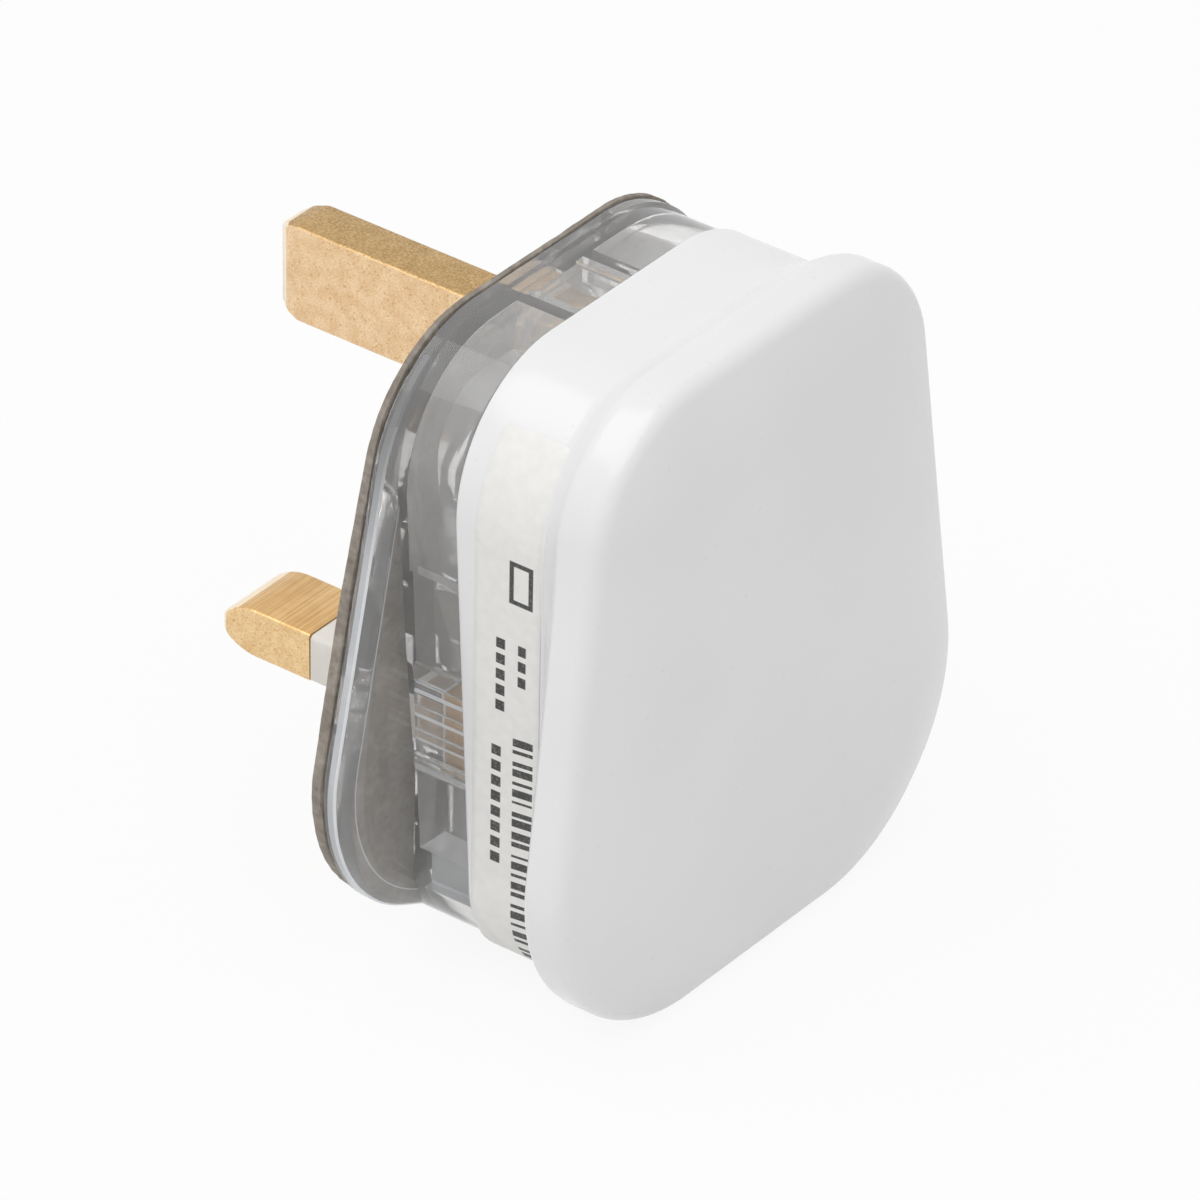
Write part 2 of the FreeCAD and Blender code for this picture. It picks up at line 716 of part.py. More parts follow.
nodes = {
    "base": make_base(),
    "cover": make_cover(),
    "earth_pin": make_earth_pin(),
    "neutral_pin": make_neutral_pin(),
    "live_pin": make_live_pin(),
    "neutral_pin_sleeve": make_sleeve(-line_x),
    "live_pin_sleeve": make_sleeve(line_x),
    "earth_terminal_screw": terminal_screw(0, earth_z),
    "neutral_terminal_screw": terminal_screw(-line_x, line_z),
    "live_terminal_block": make_line_block(),
    "live_terminal_screw": make_line_screw(),
    "lower_fuse_clip": clip_ring(line_z),
    "upper_fuse_clip": make_upper_clip(),
    "fuse_body": make_fuse_body(),
    "lower_fuse_cap": make_fuse_cap(fuse_low_z, fuse_low_z + fuse_cap_length),
    "upper_fuse_cap": make_fuse_cap(fuse_high_z, fuse_high_z - fuse_cap_length),
    "cord_grip": make_cord_grip(),
    "cord_grip_screws": make_grip_screws(),
    "closing_screw": make_closing_screw(),
    "closing_nut": make_nut(),
    "wiring_card": make_card(),
    "side_paper": make_paper(),
}

os.makedirs("parts", exist_ok=True)
for name, shape in nodes.items():
    shape.exportStep(os.path.join("parts", name + ".step"))
    state = "valid" if shape.isValid() else "NOT VALID"
    print(name, len(shape.Solids), "solid", state, round(shape.Volume, 1))
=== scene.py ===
"""Looks of a three pin mains plug: clear base, white cover, brass pins, card and paper strip."""

import logging
import math
from dataclasses import dataclass
from enum import Enum, IntEnum

import bmesh
import bpy
import numpy as np
from mathutils import Matrix, Vector


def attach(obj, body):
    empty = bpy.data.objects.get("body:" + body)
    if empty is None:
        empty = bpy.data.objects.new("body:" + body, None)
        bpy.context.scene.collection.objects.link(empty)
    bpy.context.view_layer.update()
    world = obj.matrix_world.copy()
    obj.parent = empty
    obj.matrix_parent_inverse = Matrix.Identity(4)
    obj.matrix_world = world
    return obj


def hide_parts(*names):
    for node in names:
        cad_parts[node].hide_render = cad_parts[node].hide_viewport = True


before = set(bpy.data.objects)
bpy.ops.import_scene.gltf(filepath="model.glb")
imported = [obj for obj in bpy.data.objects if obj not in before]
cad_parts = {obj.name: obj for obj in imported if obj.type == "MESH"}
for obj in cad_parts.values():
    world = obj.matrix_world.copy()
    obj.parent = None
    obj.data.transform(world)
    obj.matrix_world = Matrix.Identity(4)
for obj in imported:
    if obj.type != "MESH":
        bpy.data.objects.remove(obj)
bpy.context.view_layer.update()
MM = 0.001
BODY = "root"
# How far, in millimetres, a cutting piece reaches past the face that it cuts.
PAST = 1.0
# Half the distance between the pins, in millimetres.
HALF_PITCH = 11.115
LOG = logging.getLogger("plug")


class Axis(Enum):
    """Directions of the shared frame."""

    ALONG_X = (1.0, 0.0, 0.0)
    ALONG_Y = (0.0, 1.0, 0.0)
    ALONG_Z = (0.0, 0.0, 1.0)


class Fold(Enum):
    """How a Boolean joins two pieces of a moulding."""

    ADD = "UNION"
    CUT = "DIFFERENCE"


class Slot(IntEnum):
    """Material slots of a moulding; on the clear base, EDGES and RIM carry bands painted as highlights."""

    MAIN = 0
    EDGES = 1
    RIM = 2


@dataclass(frozen=True)
class Outline:
    """A moulding's outline seen from the cover, mirrored about X = 0, in millimetres.

    Attributes:
        corners: Half width, height and radius of each corner, down the right side.
    """

    corners: tuple[tuple[float, float, float], ...]

    def grown(self, distance: float) -> "Outline":
        """Move every edge outwards.

        Args:
            distance: Millimetres outwards, or inwards if negative.

        Returns:
            The moved outline, with its radii changed by the same distance.
        """
        first, last = self.corners[0], self.corners[-1]
        points = [(0.0, first[1])] + [(x, z) for x, z, _ in self.corners] + [(0.0, last[1])]
        lines = []
        for (x0, z0), (x1, z1) in zip(points, points[1:]):
            length = math.hypot(x1 - x0, z1 - z0)
            nx, nz = (z0 - z1) / length, (x1 - x0) / length
            lines.append((nx, nz, x0 * nx + z0 * nz + distance))
        moved = []
        for (ax, az, a), (bx, bz, b), (_, _, radius) in zip(lines, lines[1:], self.corners):
            cross = ax * bz - az * bx
            moved.append(((a * bz - b * az) / cross, (ax * b - bx * a) / cross, radius + distance))
        return Outline(tuple(moved))

    def blended(self, other: "Outline", share: float) -> "Outline":
        """Go part of the way to another outline.

        Args:
            other: The outline at a share of 1.
            share: How far to go, from 0 to 1.

        Returns:
            The outline between the two.
        """
        pairs = zip(self.corners, other.corners)
        return Outline(tuple(tuple(a + (b - a) * share for a, b in zip(p, q)) for p, q in pairs))

    def ring(self, y: float, arc_steps: int = 20, line_steps: int = 12) -> np.ndarray:
        """Sample the closed outline.

        Args:
            y: Depth of the ring.
            arc_steps: Steps round each corner.
            line_steps: Steps along each straight.

        Returns:
            One row of X, Y, Z per point, in millimetres.
        """
        right = list(self.corners)
        corners = right + [(-x, z, radius) for x, z, radius in reversed(right)]
        places = [np.array((x, z)) for x, z, _ in corners]
        arcs = []
        for index, (_, _, radius) in enumerate(corners):
            here = places[index]
            towards = places[index - 1] - here
            away = places[(index + 1) % len(places)] - here
            towards, away = towards / np.linalg.norm(towards), away / np.linalg.norm(away)
            half = math.acos(float(np.clip(towards @ away, -1, 1))) / 2
            middle = (towards + away) / np.linalg.norm(towards + away)
            centre = here + middle * radius / math.sin(half)
            start, end = here + towards * radius / math.tan(half), here + away * radius / math.tan(half)
            turn = math.pi - 2 * half
            shares = np.arange(arc_steps + 1) / arc_steps
            first = (np.sin((1 - shares) * turn) / math.sin(turn))[:, None] * (start - centre)
            second = (np.sin(shares * turn) / math.sin(turn))[:, None] * (end - centre)
            arcs.append(centre + first + second)
        rows = []
        for index, arc in enumerate(arcs):
            following = arcs[(index + 1) % len(arcs)][0]
            shares = (np.arange(1, line_steps) / line_steps)[:, None]
            rows += [arc, arc[-1] + (following - arc[-1]) * shares]
        flat = np.concatenate(rows)
        return np.stack([flat[:, 0], np.full(len(flat), y), flat[:, 1]], axis=1)


WALLS = Outline(((18.4, 19.4, 10.3), (16.1, -25.6, 8.0), (12.0, -30.7, 8.0)))


class Workbench:
    """Builds, joins and smooths meshes."""

    @staticmethod
    def piece(name: str, points: np.ndarray, faces: list[tuple[int, ...]]) -> bpy.types.Object:
        """Make an object from points and faces.

        Args:
            name: Name of the piece.
            points: Rows of X, Y, Z in millimetres.
            faces: Corner numbers of each face.

        Returns:
            The new object, linked to the scene, with its faces turned outwards.
        """
        mesh = bpy.data.meshes.new(name)
        mesh.from_pydata((np.asarray(points) * MM).tolist(), [], faces)
        shape = bmesh.new()
        shape.from_mesh(mesh)
        bmesh.ops.recalc_face_normals(shape, faces=shape.faces)
        shape.to_mesh(mesh)
        shape.free()
        made = bpy.data.objects.new(name, mesh)
        bpy.context.scene.collection.objects.link(made)
        return made

    @staticmethod
    def lofted(name: str, rings: list[np.ndarray], slots: dict[int, Slot] | None = None) -> bpy.types.Object:
        """Skin a closed solid over rings that have equal counts.

        Args:
            name: Name of the piece.
            rings: The rings in order, the first and the last being capped.
            slots: Material slot of each band, counted from 0, that isn't in the first one.

        Returns:
            The new object.
        """
        count = len(rings[0])
        faces: list[tuple[int, ...]] = [tuple(range(count))]
        for level in range(len(rings) - 1):
            low, high = level * count, (level + 1) * count
            for index in range(count):
                after = (index + 1) % count
                faces.append((low + index, low + after, high + after, high + index))
        last = (len(rings) - 1) * count
        faces.append(tuple(last + index for index in range(count)))
        made = Workbench.piece(name, np.concatenate(rings), faces)
        for band, slot in (slots or {}).items():
            for index in range(1 + band * count, 1 + (band + 1) * count):
                made.data.polygons[index].material_index = slot
        return made

    @staticmethod
    def block(name: str, low: tuple[float, float, float], high: tuple[float, float, float],
              soften: float = 0.0, slot: Slot = Slot.MAIN) -> bpy.types.Object:
        """Make a box.

        Args:
            name: Name of the piece.
            low: Its lowest corner in millimetres.
            high: Its highest corner.
            soften: Width of the chamfer along its edges, which takes the edges' slot.
            slot: Material slot of its faces.

        Returns:
            The new object.
        """
        shape = bmesh.new()
        bmesh.ops.create_cube(shape, size=1.0)
        for face in shape.faces:
            face.material_index = slot
        start, end = np.array(low), np.array(high)
        for point in shape.verts:
            point.co = Vector(((start + end) / 2 + np.array(point.co) * (end - start)) * MM)
        if soften:
            edges = list(shape.edges)
            cut = bmesh.ops.bevel(shape, geom=edges, offset=soften * MM, segments=1, affect="EDGES")
            for face in cut["faces"]:
                face.material_index = Slot.EDGES
        mesh = bpy.data.meshes.new(name)
        shape.to_mesh(mesh)
        shape.free()
        made = bpy.data.objects.new(name, mesh)
        bpy.context.scene.collection.objects.link(made)
        return made

    @staticmethod
    def rod(name: str, axis: Axis, centre: tuple[float, float, float], radius: float,
            length: float, sides: int = 64) -> bpy.types.Object:
        """Make a round or many-sided bar.

        Args:
            name: Name of the piece.
            axis: Direction that the bar runs in.
            centre: Its middle, in millimetres.
            radius: Distance from its axis to its corners.
            length: Its whole length.
            sides: How many sides it has.

        Returns:
            The new object.
        """
        turns = np.arange(sides) * 2 * math.pi / sides
        along = np.array(axis.value)
        across = np.array((Axis.ALONG_X if axis is Axis.ALONG_Z else Axis.ALONG_Z).value)
        third = np.cross(along, across)
        round_points = radius * (np.cos(turns)[:, None] * across + np.sin(turns)[:, None] * third)
        ends = [np.array(centre) + round_points + along * side * length / 2 for side in (-1, 1)]
        return Workbench.lofted(name, ends)

    @staticmethod
    def fold(piece: bpy.types.Object, tool: bpy.types.Object, how: Fold) -> None:
        """Join a tool to a piece or cut it away, and remove the tool.

        Args:
            piece: The piece that is changed.
            tool: The piece that is used up.
            how: Whether it is added or cut.
        """
        for part in (piece, tool):
            while len(part.data.materials) < len(Slot):
                part.data.materials.append(None)
        change = piece.modifiers.new("fold", "BOOLEAN")
        change.operation = how.value
        change.solver = "EXACT"
        change.object = tool
        Workbench.settle(piece)
        bpy.data.objects.remove(tool)

    @staticmethod
    def settle(piece: bpy.types.Object) -> None:
        """Turn a piece's modifiers into its own mesh.

        Args:
            piece: The piece to settle.
        """
        graph = bpy.context.evaluated_depsgraph_get()
        mesh = bpy.data.meshes.new_from_object(piece.evaluated_get(graph))
        old = piece.data
        piece.modifiers.clear()
        piece.data = mesh
        bpy.data.meshes.remove(old)

    @staticmethod
    def single_slot(piece: bpy.types.Object, finish: bpy.types.Material) -> None:
        """Give all of a piece one finish.

        Args:
            piece: The piece.
            finish: Its material.
        """
        piece.data.materials.clear()
        piece.data.materials.append(finish)
        for face in piece.data.polygons:
            face.material_index = Slot.MAIN

    @staticmethod
    def oblong(centre: tuple[float, float, float], wide: float, tall: float, corner: float,
               steps: int = 4) -> np.ndarray:
        """Sample a rectangle that lies across Y, with rounded corners.

        Args:
            centre: Its middle.
            wide: Its size along X.
            tall: Its size along Z.
            corner: Radius of its corners.
            steps: Steps round each corner.

        Returns:
            One row of X, Y, Z per point, in millimetres.
        """
        rows = []
        for index, (side_x, side_z) in enumerate(((1, 1), (-1, 1), (-1, -1), (1, -1))):
            turns = math.pi / 2 * (index + np.arange(steps + 1) / steps)
            x = centre[0] + side_x * (wide / 2 - corner) + corner * np.cos(turns)
            z = centre[2] + side_z * (tall / 2 - corner) + corner * np.sin(turns)
            rows.append(np.stack([x, np.full(len(turns), centre[1]), z], axis=1))
        return np.concatenate(rows)

    @staticmethod
    def smooth(piece: bpy.types.Object, degrees: float = 32.0) -> None:
        """Shade a piece smooth, with sharp edges where its faces turn.

        Args:
            piece: The piece to shade.
            degrees: Turn above which an edge stays sharp.
        """
        mesh = piece.data
        mesh.shade_smooth()
        mesh.set_sharp_from_angle(angle=math.radians(degrees))

    @staticmethod
    def refine_node(node: bpy.types.Object, degrees: float, bevel: float = 0.0, edge_slot: int = -1) -> None:
        """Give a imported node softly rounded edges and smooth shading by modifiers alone.

        Args:
            node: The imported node.
            degrees: Turn above which an edge is rounded or stays sharp.
            bevel: Width of the rounding in millimetres, or 0 for none.
            edge_slot: Material slot of the rounded edges, or -1 for that of their neighbours.
        """
        weld = node.modifiers.new("weld", "WELD")
        weld.merge_threshold = 0.002 * MM
        if bevel:
            flats = node.modifiers.new("whole_flats", "DECIMATE")
            flats.decimate_type = "DISSOLVE"
            flats.angle_limit = math.radians(0.4)
            soft = node.modifiers.new("soft_edges", "BEVEL")
            soft.width = bevel * MM
            soft.segments = 2
            soft.limit_method = "ANGLE"
            soft.angle_limit = math.radians(degrees)
            soft.material = edge_slot
        split = node.modifiers.new("sharp_edges", "EDGE_SPLIT")
        split.split_angle = math.radians(degrees + 8.0)
        split.use_edge_sharp = False
        for face in node.data.polygons:
            face.use_smooth = True


class Wiring:
    """Adds nodes to one tree and links them."""

    def __init__(self, tree: bpy.types.NodeTree) -> None:
        """Keep the tree that is wired."""
        self.tree = tree

    def add(self, kind: str, values: dict[str | int, object] | None = None,
            **settings: object) -> bpy.types.Node:
        """Add one node.

        Args:
            kind: Its type, without the leading words ShaderNode.
            values: What each input takes: a number, a colour, a vector or another node's output.
            **settings: Properties of the node itself.

        Returns:
            The new node.
        """
        node = self.tree.nodes.new("ShaderNode" + kind)
        for name, value in settings.items():
            setattr(node, name, value)
        for key, value in (values or {}).items():
            self.feed(node.inputs[key], value)
        return node

    def feed(self, socket: bpy.types.NodeSocket, value: object) -> None:
        """Set an input, or link an output to it.

        Args:
            socket: The input.
            value: A plain value or an output socket.
        """
        if isinstance(value, bpy.types.NodeSocket):
            self.tree.links.new(value, socket)
        else:
            socket.default_value = value

    def maths(self, what: str, first: object, second: object = 0.0, third: object = 0.0,
              clamp: bool = False) -> bpy.types.NodeSocket:
        """Add a sum.

        Args:
            what: Name of the operation.
            first: First number or socket.
            second: Second number or socket.
            third: Third number or socket.
            clamp: Whether the result stays from 0 to 1.

        Returns:
            The result's socket.
        """
        node = self.add("Math", {0: first, 1: second, 2: third}, operation=what, use_clamp=clamp)
        return node.outputs[0]

    def ramp(self, value: object, low: float, high: float, to_low: float = 0.0,
             to_high: float = 1.0) -> bpy.types.NodeSocket:
        """Stretch a value softly from one range to another.

        Args:
            value: The socket that is stretched.
            low: Where the range starts.
            high: Where it ends.
            to_low: Result at the start.
            to_high: Result at the end.

        Returns:
            The result's socket.
        """
        limits = {"Value": value, "From Min": low, "From Max": high, "To Min": to_low, "To Max": to_high}
        node = self.add("MapRange", limits, interpolation_type="SMOOTHSTEP")
        return node.outputs["Result"]

    def tint(self, share: object, first: object, second: object, blend: str = "MIX") -> bpy.types.NodeSocket:
        """Mix two colours.

        Args:
            share: How much of the second.
            first: First colour or socket.
            second: Second colour or socket.
            blend: Way of mixing.

        Returns:
            The mixed colour's socket.
        """
        node = self.add("Mix", {0: share, 6: first, 7: second}, data_type="RGBA", blend_type=blend)
        return node.outputs[2]


class Effects:
    """Shader groups that several finishes share."""

    @staticmethod
    def group(name: str, inputs: dict[str, tuple[str, float]], outputs: dict[str, str]) -> Wiring:
        """Start a group with named sockets.

        Args:
            name: Name of the group.
            inputs: Type and default of each input.
            outputs: Type of each output.

        Returns:
            The wiring of the new group, with its two end nodes added.
        """
        tree = bpy.data.node_groups.new(name, "ShaderNodeTree")
        for label, (kind, default) in inputs.items():
            socket = tree.interface.new_socket(label, in_out="INPUT", socket_type="NodeSocket" + kind)
            if kind == "Float":
                socket.default_value = default
        for label, kind in outputs.items():
            tree.interface.new_socket(label, in_out="OUTPUT", socket_type="NodeSocket" + kind)
        tree.nodes.new("NodeGroupInput")
        tree.nodes.new("NodeGroupOutput")
        return Wiring(tree)

    @staticmethod
    def ends(wiring: Wiring) -> tuple[dict[str, bpy.types.NodeSocket], dict[str, bpy.types.NodeSocket]]:
        """List a group's own sockets.

        Args:
            wiring: The group's wiring.

        Returns:
            What comes in and what goes out, by name.
        """
        start = next(n for n in wiring.tree.nodes if n.bl_idname == "NodeGroupInput")
        end = next(n for n in wiring.tree.nodes if n.bl_idname == "NodeGroupOutput")
        return {s.name: s for s in start.outputs if s.name}, {s.name: s for s in end.inputs if s.name}

    @staticmethod
    def placed() -> None:
        """Build every shared group once."""
        Effects.mottle()
        Effects.streaks()
        Effects.speckle()
        Effects.edge_wear_and_glint()

    @staticmethod
    def mottle() -> None:
        """Soft cloudy variation with finer detail inside it."""
        inputs = {"Vector": ("Vector", 0.0), "Scale": ("Float", 1.0), "Detail": ("Float", 4.0)}
        wiring = Effects.group("mottle", inputs, {"Mask": "Float", "Height": "Float"})
        given, result = Effects.ends(wiring)
        values = {"Vector": given["Vector"], "Scale": given["Scale"], "Detail": given["Detail"]}
        cloud = wiring.add("TexNoise", values)
        wiring.feed(result["Mask"], wiring.ramp(cloud.outputs[0], 0.3, 0.7))
        wiring.feed(result["Height"], cloud.outputs[0])

    @staticmethod
    def streaks() -> None:
        """Fine lines that run one way, as drawing or rolling leaves them."""
        inputs = {
            "Vector": ("Vector", 0.0),
            "Scale": ("Float", 1.0),
            "Long": ("Float", 0.1),
            "Turn": ("Float", 0.0),
        }
        wiring = Effects.group("streaks", inputs, {"Mask": "Float", "Height": "Float"})
        given, result = Effects.ends(wiring)
        values = {"Vector": given["Vector"], "Angle": given["Turn"]}
        turned = wiring.add("VectorRotate", values, rotation_type="Z_AXIS")
        parts = wiring.add("SeparateXYZ", {0: turned.outputs[0]})
        squeezed = wiring.maths("MULTIPLY", parts.outputs[1], given["Long"])
        joined = wiring.add("CombineXYZ", {0: parts.outputs[0], 1: squeezed, 2: parts.outputs[2]})
        lines = wiring.add("TexNoise", {"Vector": joined.outputs[0], "Scale": given["Scale"], "Detail": 5.0})
        wiring.feed(result["Mask"], wiring.ramp(lines.outputs[0], 0.35, 0.65))
        wiring.feed(result["Height"], lines.outputs[0])

    @staticmethod
    def speckle() -> None:
        """Small scattered spots and pits."""
        inputs = {"Vector": ("Vector", 0.0), "Scale": ("Float", 1.0), "Size": ("Float", 0.2)}
        wiring = Effects.group("speckle", inputs, {"Mask": "Float", "Height": "Float"})
        given, result = Effects.ends(wiring)
        bend = wiring.add("TexNoise", {"Vector": given["Vector"], "Scale": given["Scale"], "Detail": 2.0})
        cells = wiring.add("TexVoronoi", {"Vector": given["Vector"], "Scale": given["Scale"]})
        uneven = wiring.maths("MULTIPLY", bend.outputs[0], given["Size"])
        apart = wiring.maths("SUBTRACT", uneven, cells.outputs["Distance"])
        spots = wiring.ramp(apart, -0.05, 0.1)
        wiring.feed(result["Mask"], spots)
        wiring.feed(result["Height"], wiring.maths("SUBTRACT", 1.0, spots))

    @staticmethod
    def edge_wear_and_glint() -> None:
        """A mask along edges, broken up by noise."""
        inputs = {"Vector": ("Vector", 0.0), "Radius": ("Float", 0.0002), "Break": ("Float", 900.0)}
        wiring = Effects.group("edge_wear_and_glint", inputs, {"Mask": "Float"})
        given, result = Effects.ends(wiring)
        soft = wiring.add("Bevel", {"Radius": given["Radius"]}, samples=6)
        plain = wiring.add("NewGeometry")
        normals = {0: soft.outputs[0], 1: plain.outputs["Normal"]}
        agree = wiring.add("VectorMath", normals, operation="DOT_PRODUCT")
        turn = wiring.maths("SUBTRACT", 1.0, agree.outputs["Value"])
        rough = wiring.add("TexNoise", {"Vector": given["Vector"], "Scale": given["Break"], "Detail": 4.0})
        broken = wiring.maths("MULTIPLY", turn, wiring.ramp(rough.outputs[0], 0.3, 0.7, 0.4, 1.6))
        wiring.feed(result["Mask"], wiring.ramp(broken, 0.01, 0.14))


class Finish:
    """A material under construction: one Principled shader and the groups that feed it."""

    def __init__(self, name: str) -> None:
        """Start a material with a bare Principled shader.

        Args:
            name: Name of the material.
        """
        self.material = bpy.data.materials.new(name)
        self.material.use_nodes = True
        tree = self.material.node_tree
        tree.nodes.clear()
        self.wiring = Wiring(tree)
        self.shader = self.wiring.add("BsdfPrincipled")
        self.output = self.wiring.add("OutputMaterial", {"Surface": self.shader.outputs[0]})
        self.place = self.wiring.add("TexCoord").outputs["Object"]

    def set(self, **values: object) -> None:
        """Set or link inputs of the shader.

        Args:
            **values: Inputs by name, with _ for each space.
        """
        for name, value in values.items():
            self.wiring.feed(self.shader.inputs[name.replace("_", " ")], value)

    def effect(self, name: str, **values: object) -> bpy.types.Node:
        """Place a shared group in this material.

        Args:
            name: The group's name.
            **values: Its inputs, apart from the place.

        Returns:
            The group node.
        """
        node = self.wiring.tree.nodes.new("ShaderNodeGroup")
        node.node_tree = bpy.data.node_groups[name]
        self.wiring.feed(node.inputs["Vector"], self.place)
        for key, value in values.items():
            self.wiring.feed(node.inputs[key], value)
        return node

    def bump(self, height: object, strength: float, distance: float) -> None:
        """Raise the surface by a height.

        Args:
            height: The height's socket.
            strength: Share of the effect.
            distance: Height of a full step in millimetres.
        """
        values = {"Height": height, "Strength": strength, "Distance": distance * MM}
        self.set(Normal=self.wiring.add("Bump", values).outputs[0])


Colour = tuple[float, float, float, float]
Patch = tuple[float, float, float, float]


def shade(red: int, green: int, blue: int) -> Colour:
    """Turn a screen colour into a linear one.

    Args:
        red: Red from 0 to 255.
        green: Green from 0 to 255.
        blue: Blue from 0 to 255.

    Returns:
        The linear colour with an alpha of 1.
    """
    def linear(part: int) -> float:
        """One part of the colour in linear terms."""
        value = part / 255
        return value / 12.92 if value <= 0.04045 else ((value + 0.055) / 1.055) ** 2.4

    return (linear(red), linear(green), linear(blue), 1.0)


@dataclass(frozen=True)
class ClearPlastic:
    """Clear moulded plastic: hard, glossy, a little grey, and where asked painted darker towards the top as
    painted shade.
    """

    name: str
    colour: Colour
    clear: float
    ior: float = 1.4
    rough_low: float = 0.02
    rough_high: float = 0.05
    # Where set, this colour is painted shade that takes over from the colour between the heights in fade.
    top_shade: Colour | None = None
    fade: tuple[float, float] = (2.0, 16.0)

    def made(self) -> bpy.types.Material:
        """Build the material.

        Returns:
            The clear plastic, which lets the lamps' rays through.
        """
        finish = Finish(self.name)
        wiring = finish.wiring
        haze = finish.effect("mottle", Scale=160.0, Detail=5.0)
        finish.set(IOR=self.ior, Transmission_Weight=self.clear, Metallic=0.0)
        finish.set(Base_Color=self.colour if self.top_shade is None else self.shaded_by_height(finish))
        finish.set(Roughness=wiring.ramp(haze.outputs["Mask"], 0.0, 1.0, self.rough_low, self.rough_high))
        open_way = wiring.add("BsdfTransparent", {"Color": (0.95, 0.95, 0.95, 1.0)})
        path = wiring.add("LightPath")
        ends = {0: path.outputs["Is Shadow Ray"], 1: finish.shader.outputs[0], 2: open_way.outputs[0]}
        wiring.feed(finish.output.inputs["Surface"], wiring.add("MixShader", ends).outputs[0])
        return finish.material

    def shaded_by_height(self, finish: Finish) -> bpy.types.NodeSocket:
        """Paint the colour darker towards the object's top, as painted shade.

        Args:
            finish: The material under construction.

        Returns:
            The colour that changes with height.
        """
        wiring = finish.wiring
        height = wiring.add("SeparateXYZ", {0: finish.place}).outputs["Z"]
        low, high = (level * MM for level in self.fade)
        return wiring.tint(wiring.ramp(height, low, high), self.colour, self.top_shade)


@dataclass(frozen=True)
class GlossyPlastic:
    """An opaque moulding with a polished skin and faint flow marks."""

    name: str
    colour: Colour
    second: Colour
    rough_low: float = 0.16
    rough_high: float = 0.26
    coarse: float = 60.0

    def made(self) -> bpy.types.Material:
        """Build the material.

        Returns:
            The plastic.
        """
        finish = Finish(self.name)
        wiring = finish.wiring
        cloud = finish.effect("mottle", Scale=self.coarse, Detail=6.0)
        dust = finish.effect("speckle", Scale=700.0, Size=0.16)
        base = wiring.tint(cloud.outputs["Mask"], self.colour, self.second)
        darker = wiring.tint(wiring.maths("MULTIPLY", dust.outputs["Mask"], 0.10), base, shade(150, 147, 142))
        finish.set(Base_Color=darker, IOR=1.5, Metallic=0.0)
        finish.set(Roughness=wiring.ramp(cloud.outputs["Mask"], 0.0, 1.0, self.rough_low, self.rough_high))
        finish.bump(cloud.outputs["Height"], 0.12, 0.06)
        return finish.material


@dataclass(frozen=True)
class Brass:
    """Drawn brass bar: streaked along its flats, speckled on its sides, bright along its edges. The darker
    flats and paler sides are painted reflection; the pale edges are partly wear and partly painted highlight.
    """

    name: str
    flat: Colour
    flat_dark: Colour
    side: Colour
    side_pale: Colour
    # Pale colour of the edges: partly wear, partly a painted highlight.
    edge: Colour = shade(252, 232, 190)
    turn: float = 0.0
    streak_scale: float = 9000.0
    streak_long: float = 0.5

    def made(self) -> bpy.types.Material:
        """Build the material.

        Returns:
            The brass.
        """
        finish = Finish(self.name)
        wiring = finish.wiring
        lines = finish.effect("streaks", Scale=self.streak_scale, Long=self.streak_long, Turn=self.turn)
        cloud = finish.effect("mottle", Scale=900.0, Detail=9.0)
        spots = finish.effect("speckle", Scale=2600.0, Size=0.42)
        edge_mask = finish.effect("edge_wear_and_glint", Radius=0.00018, Break=2400.0)
        # Flats and sides are told apart by the way their faces point: their streaks and pits are real, but
        # the darker flats and paler sides are painted reflection.
        normal = wiring.add("NewGeometry").outputs["True Normal"]
        upward = wiring.add("SeparateXYZ", {0: normal}).outputs["Z"]
        lying = wiring.ramp(wiring.maths("ABSOLUTE", upward), 0.55, 0.85)
        worked = wiring.maths("MULTIPLY", lines.outputs["Mask"], 0.75)
        worked = wiring.maths("MULTIPLY_ADD", cloud.outputs["Mask"], 0.25, worked)
        flats = wiring.tint(worked, self.flat_dark, self.flat)
        grains = wiring.maths("MULTIPLY_ADD", lines.outputs["Mask"], 0.4, 0.3)
        pits = wiring.maths("MULTIPLY_ADD", spots.outputs["Mask"], -0.7, grains)
        pits = wiring.maths("MULTIPLY_ADD", cloud.outputs["Mask"], 0.35, pits, clamp=True)
        sides = wiring.tint(pits, self.side, self.side_pale)
        base = wiring.tint(lying, sides, flats)
        # Edges paled, partly as wear and partly as painted highlight.
        bright = wiring.tint(wiring.maths("MULTIPLY", edge_mask.outputs["Mask"], 0.8), base, self.edge)
        finish.set(Base_Color=bright, Metallic=1.0)
        finish.set(Roughness=wiring.ramp(worked, 0.0, 1.0, 0.42, 0.28))
        height = wiring.maths("MULTIPLY_ADD", spots.outputs["Height"], 0.5, lines.outputs["Height"])
        finish.bump(height, 0.14, 0.015)
        return finish.material


@dataclass(frozen=True)
class PlatedMetal:
    """Plated or plain sheet metal with fine brushing and worn edges."""

    name: str
    colour: Colour
    dull: Colour
    rough_low: float = 0.18
    rough_high: float = 0.36

    def made(self) -> bpy.types.Material:
        """Build the material.

        Returns:
            The metal.
        """
        finish = Finish(self.name)
        wiring = finish.wiring
        lines = finish.effect("streaks", Scale=3000.0, Long=0.2)
        cloud = finish.effect("mottle", Scale=500.0, Detail=5.0)
        edge_mask = finish.effect("edge_wear_and_glint", Radius=0.00025, Break=1500.0)
        mixed = wiring.maths("MULTIPLY", lines.outputs["Mask"], cloud.outputs["Mask"])
        base = wiring.tint(mixed, self.dull, self.colour)
        bright = wiring.tint(wiring.maths("MULTIPLY", edge_mask.outputs["Mask"], 0.5), base, self.colour)
        finish.set(Base_Color=bright, Metallic=1.0)
        finish.set(Roughness=wiring.ramp(mixed, 0.0, 1.0, self.rough_high, self.rough_low))
        finish.bump(lines.outputs["Height"], 0.12, 0.02)
        return finish.material


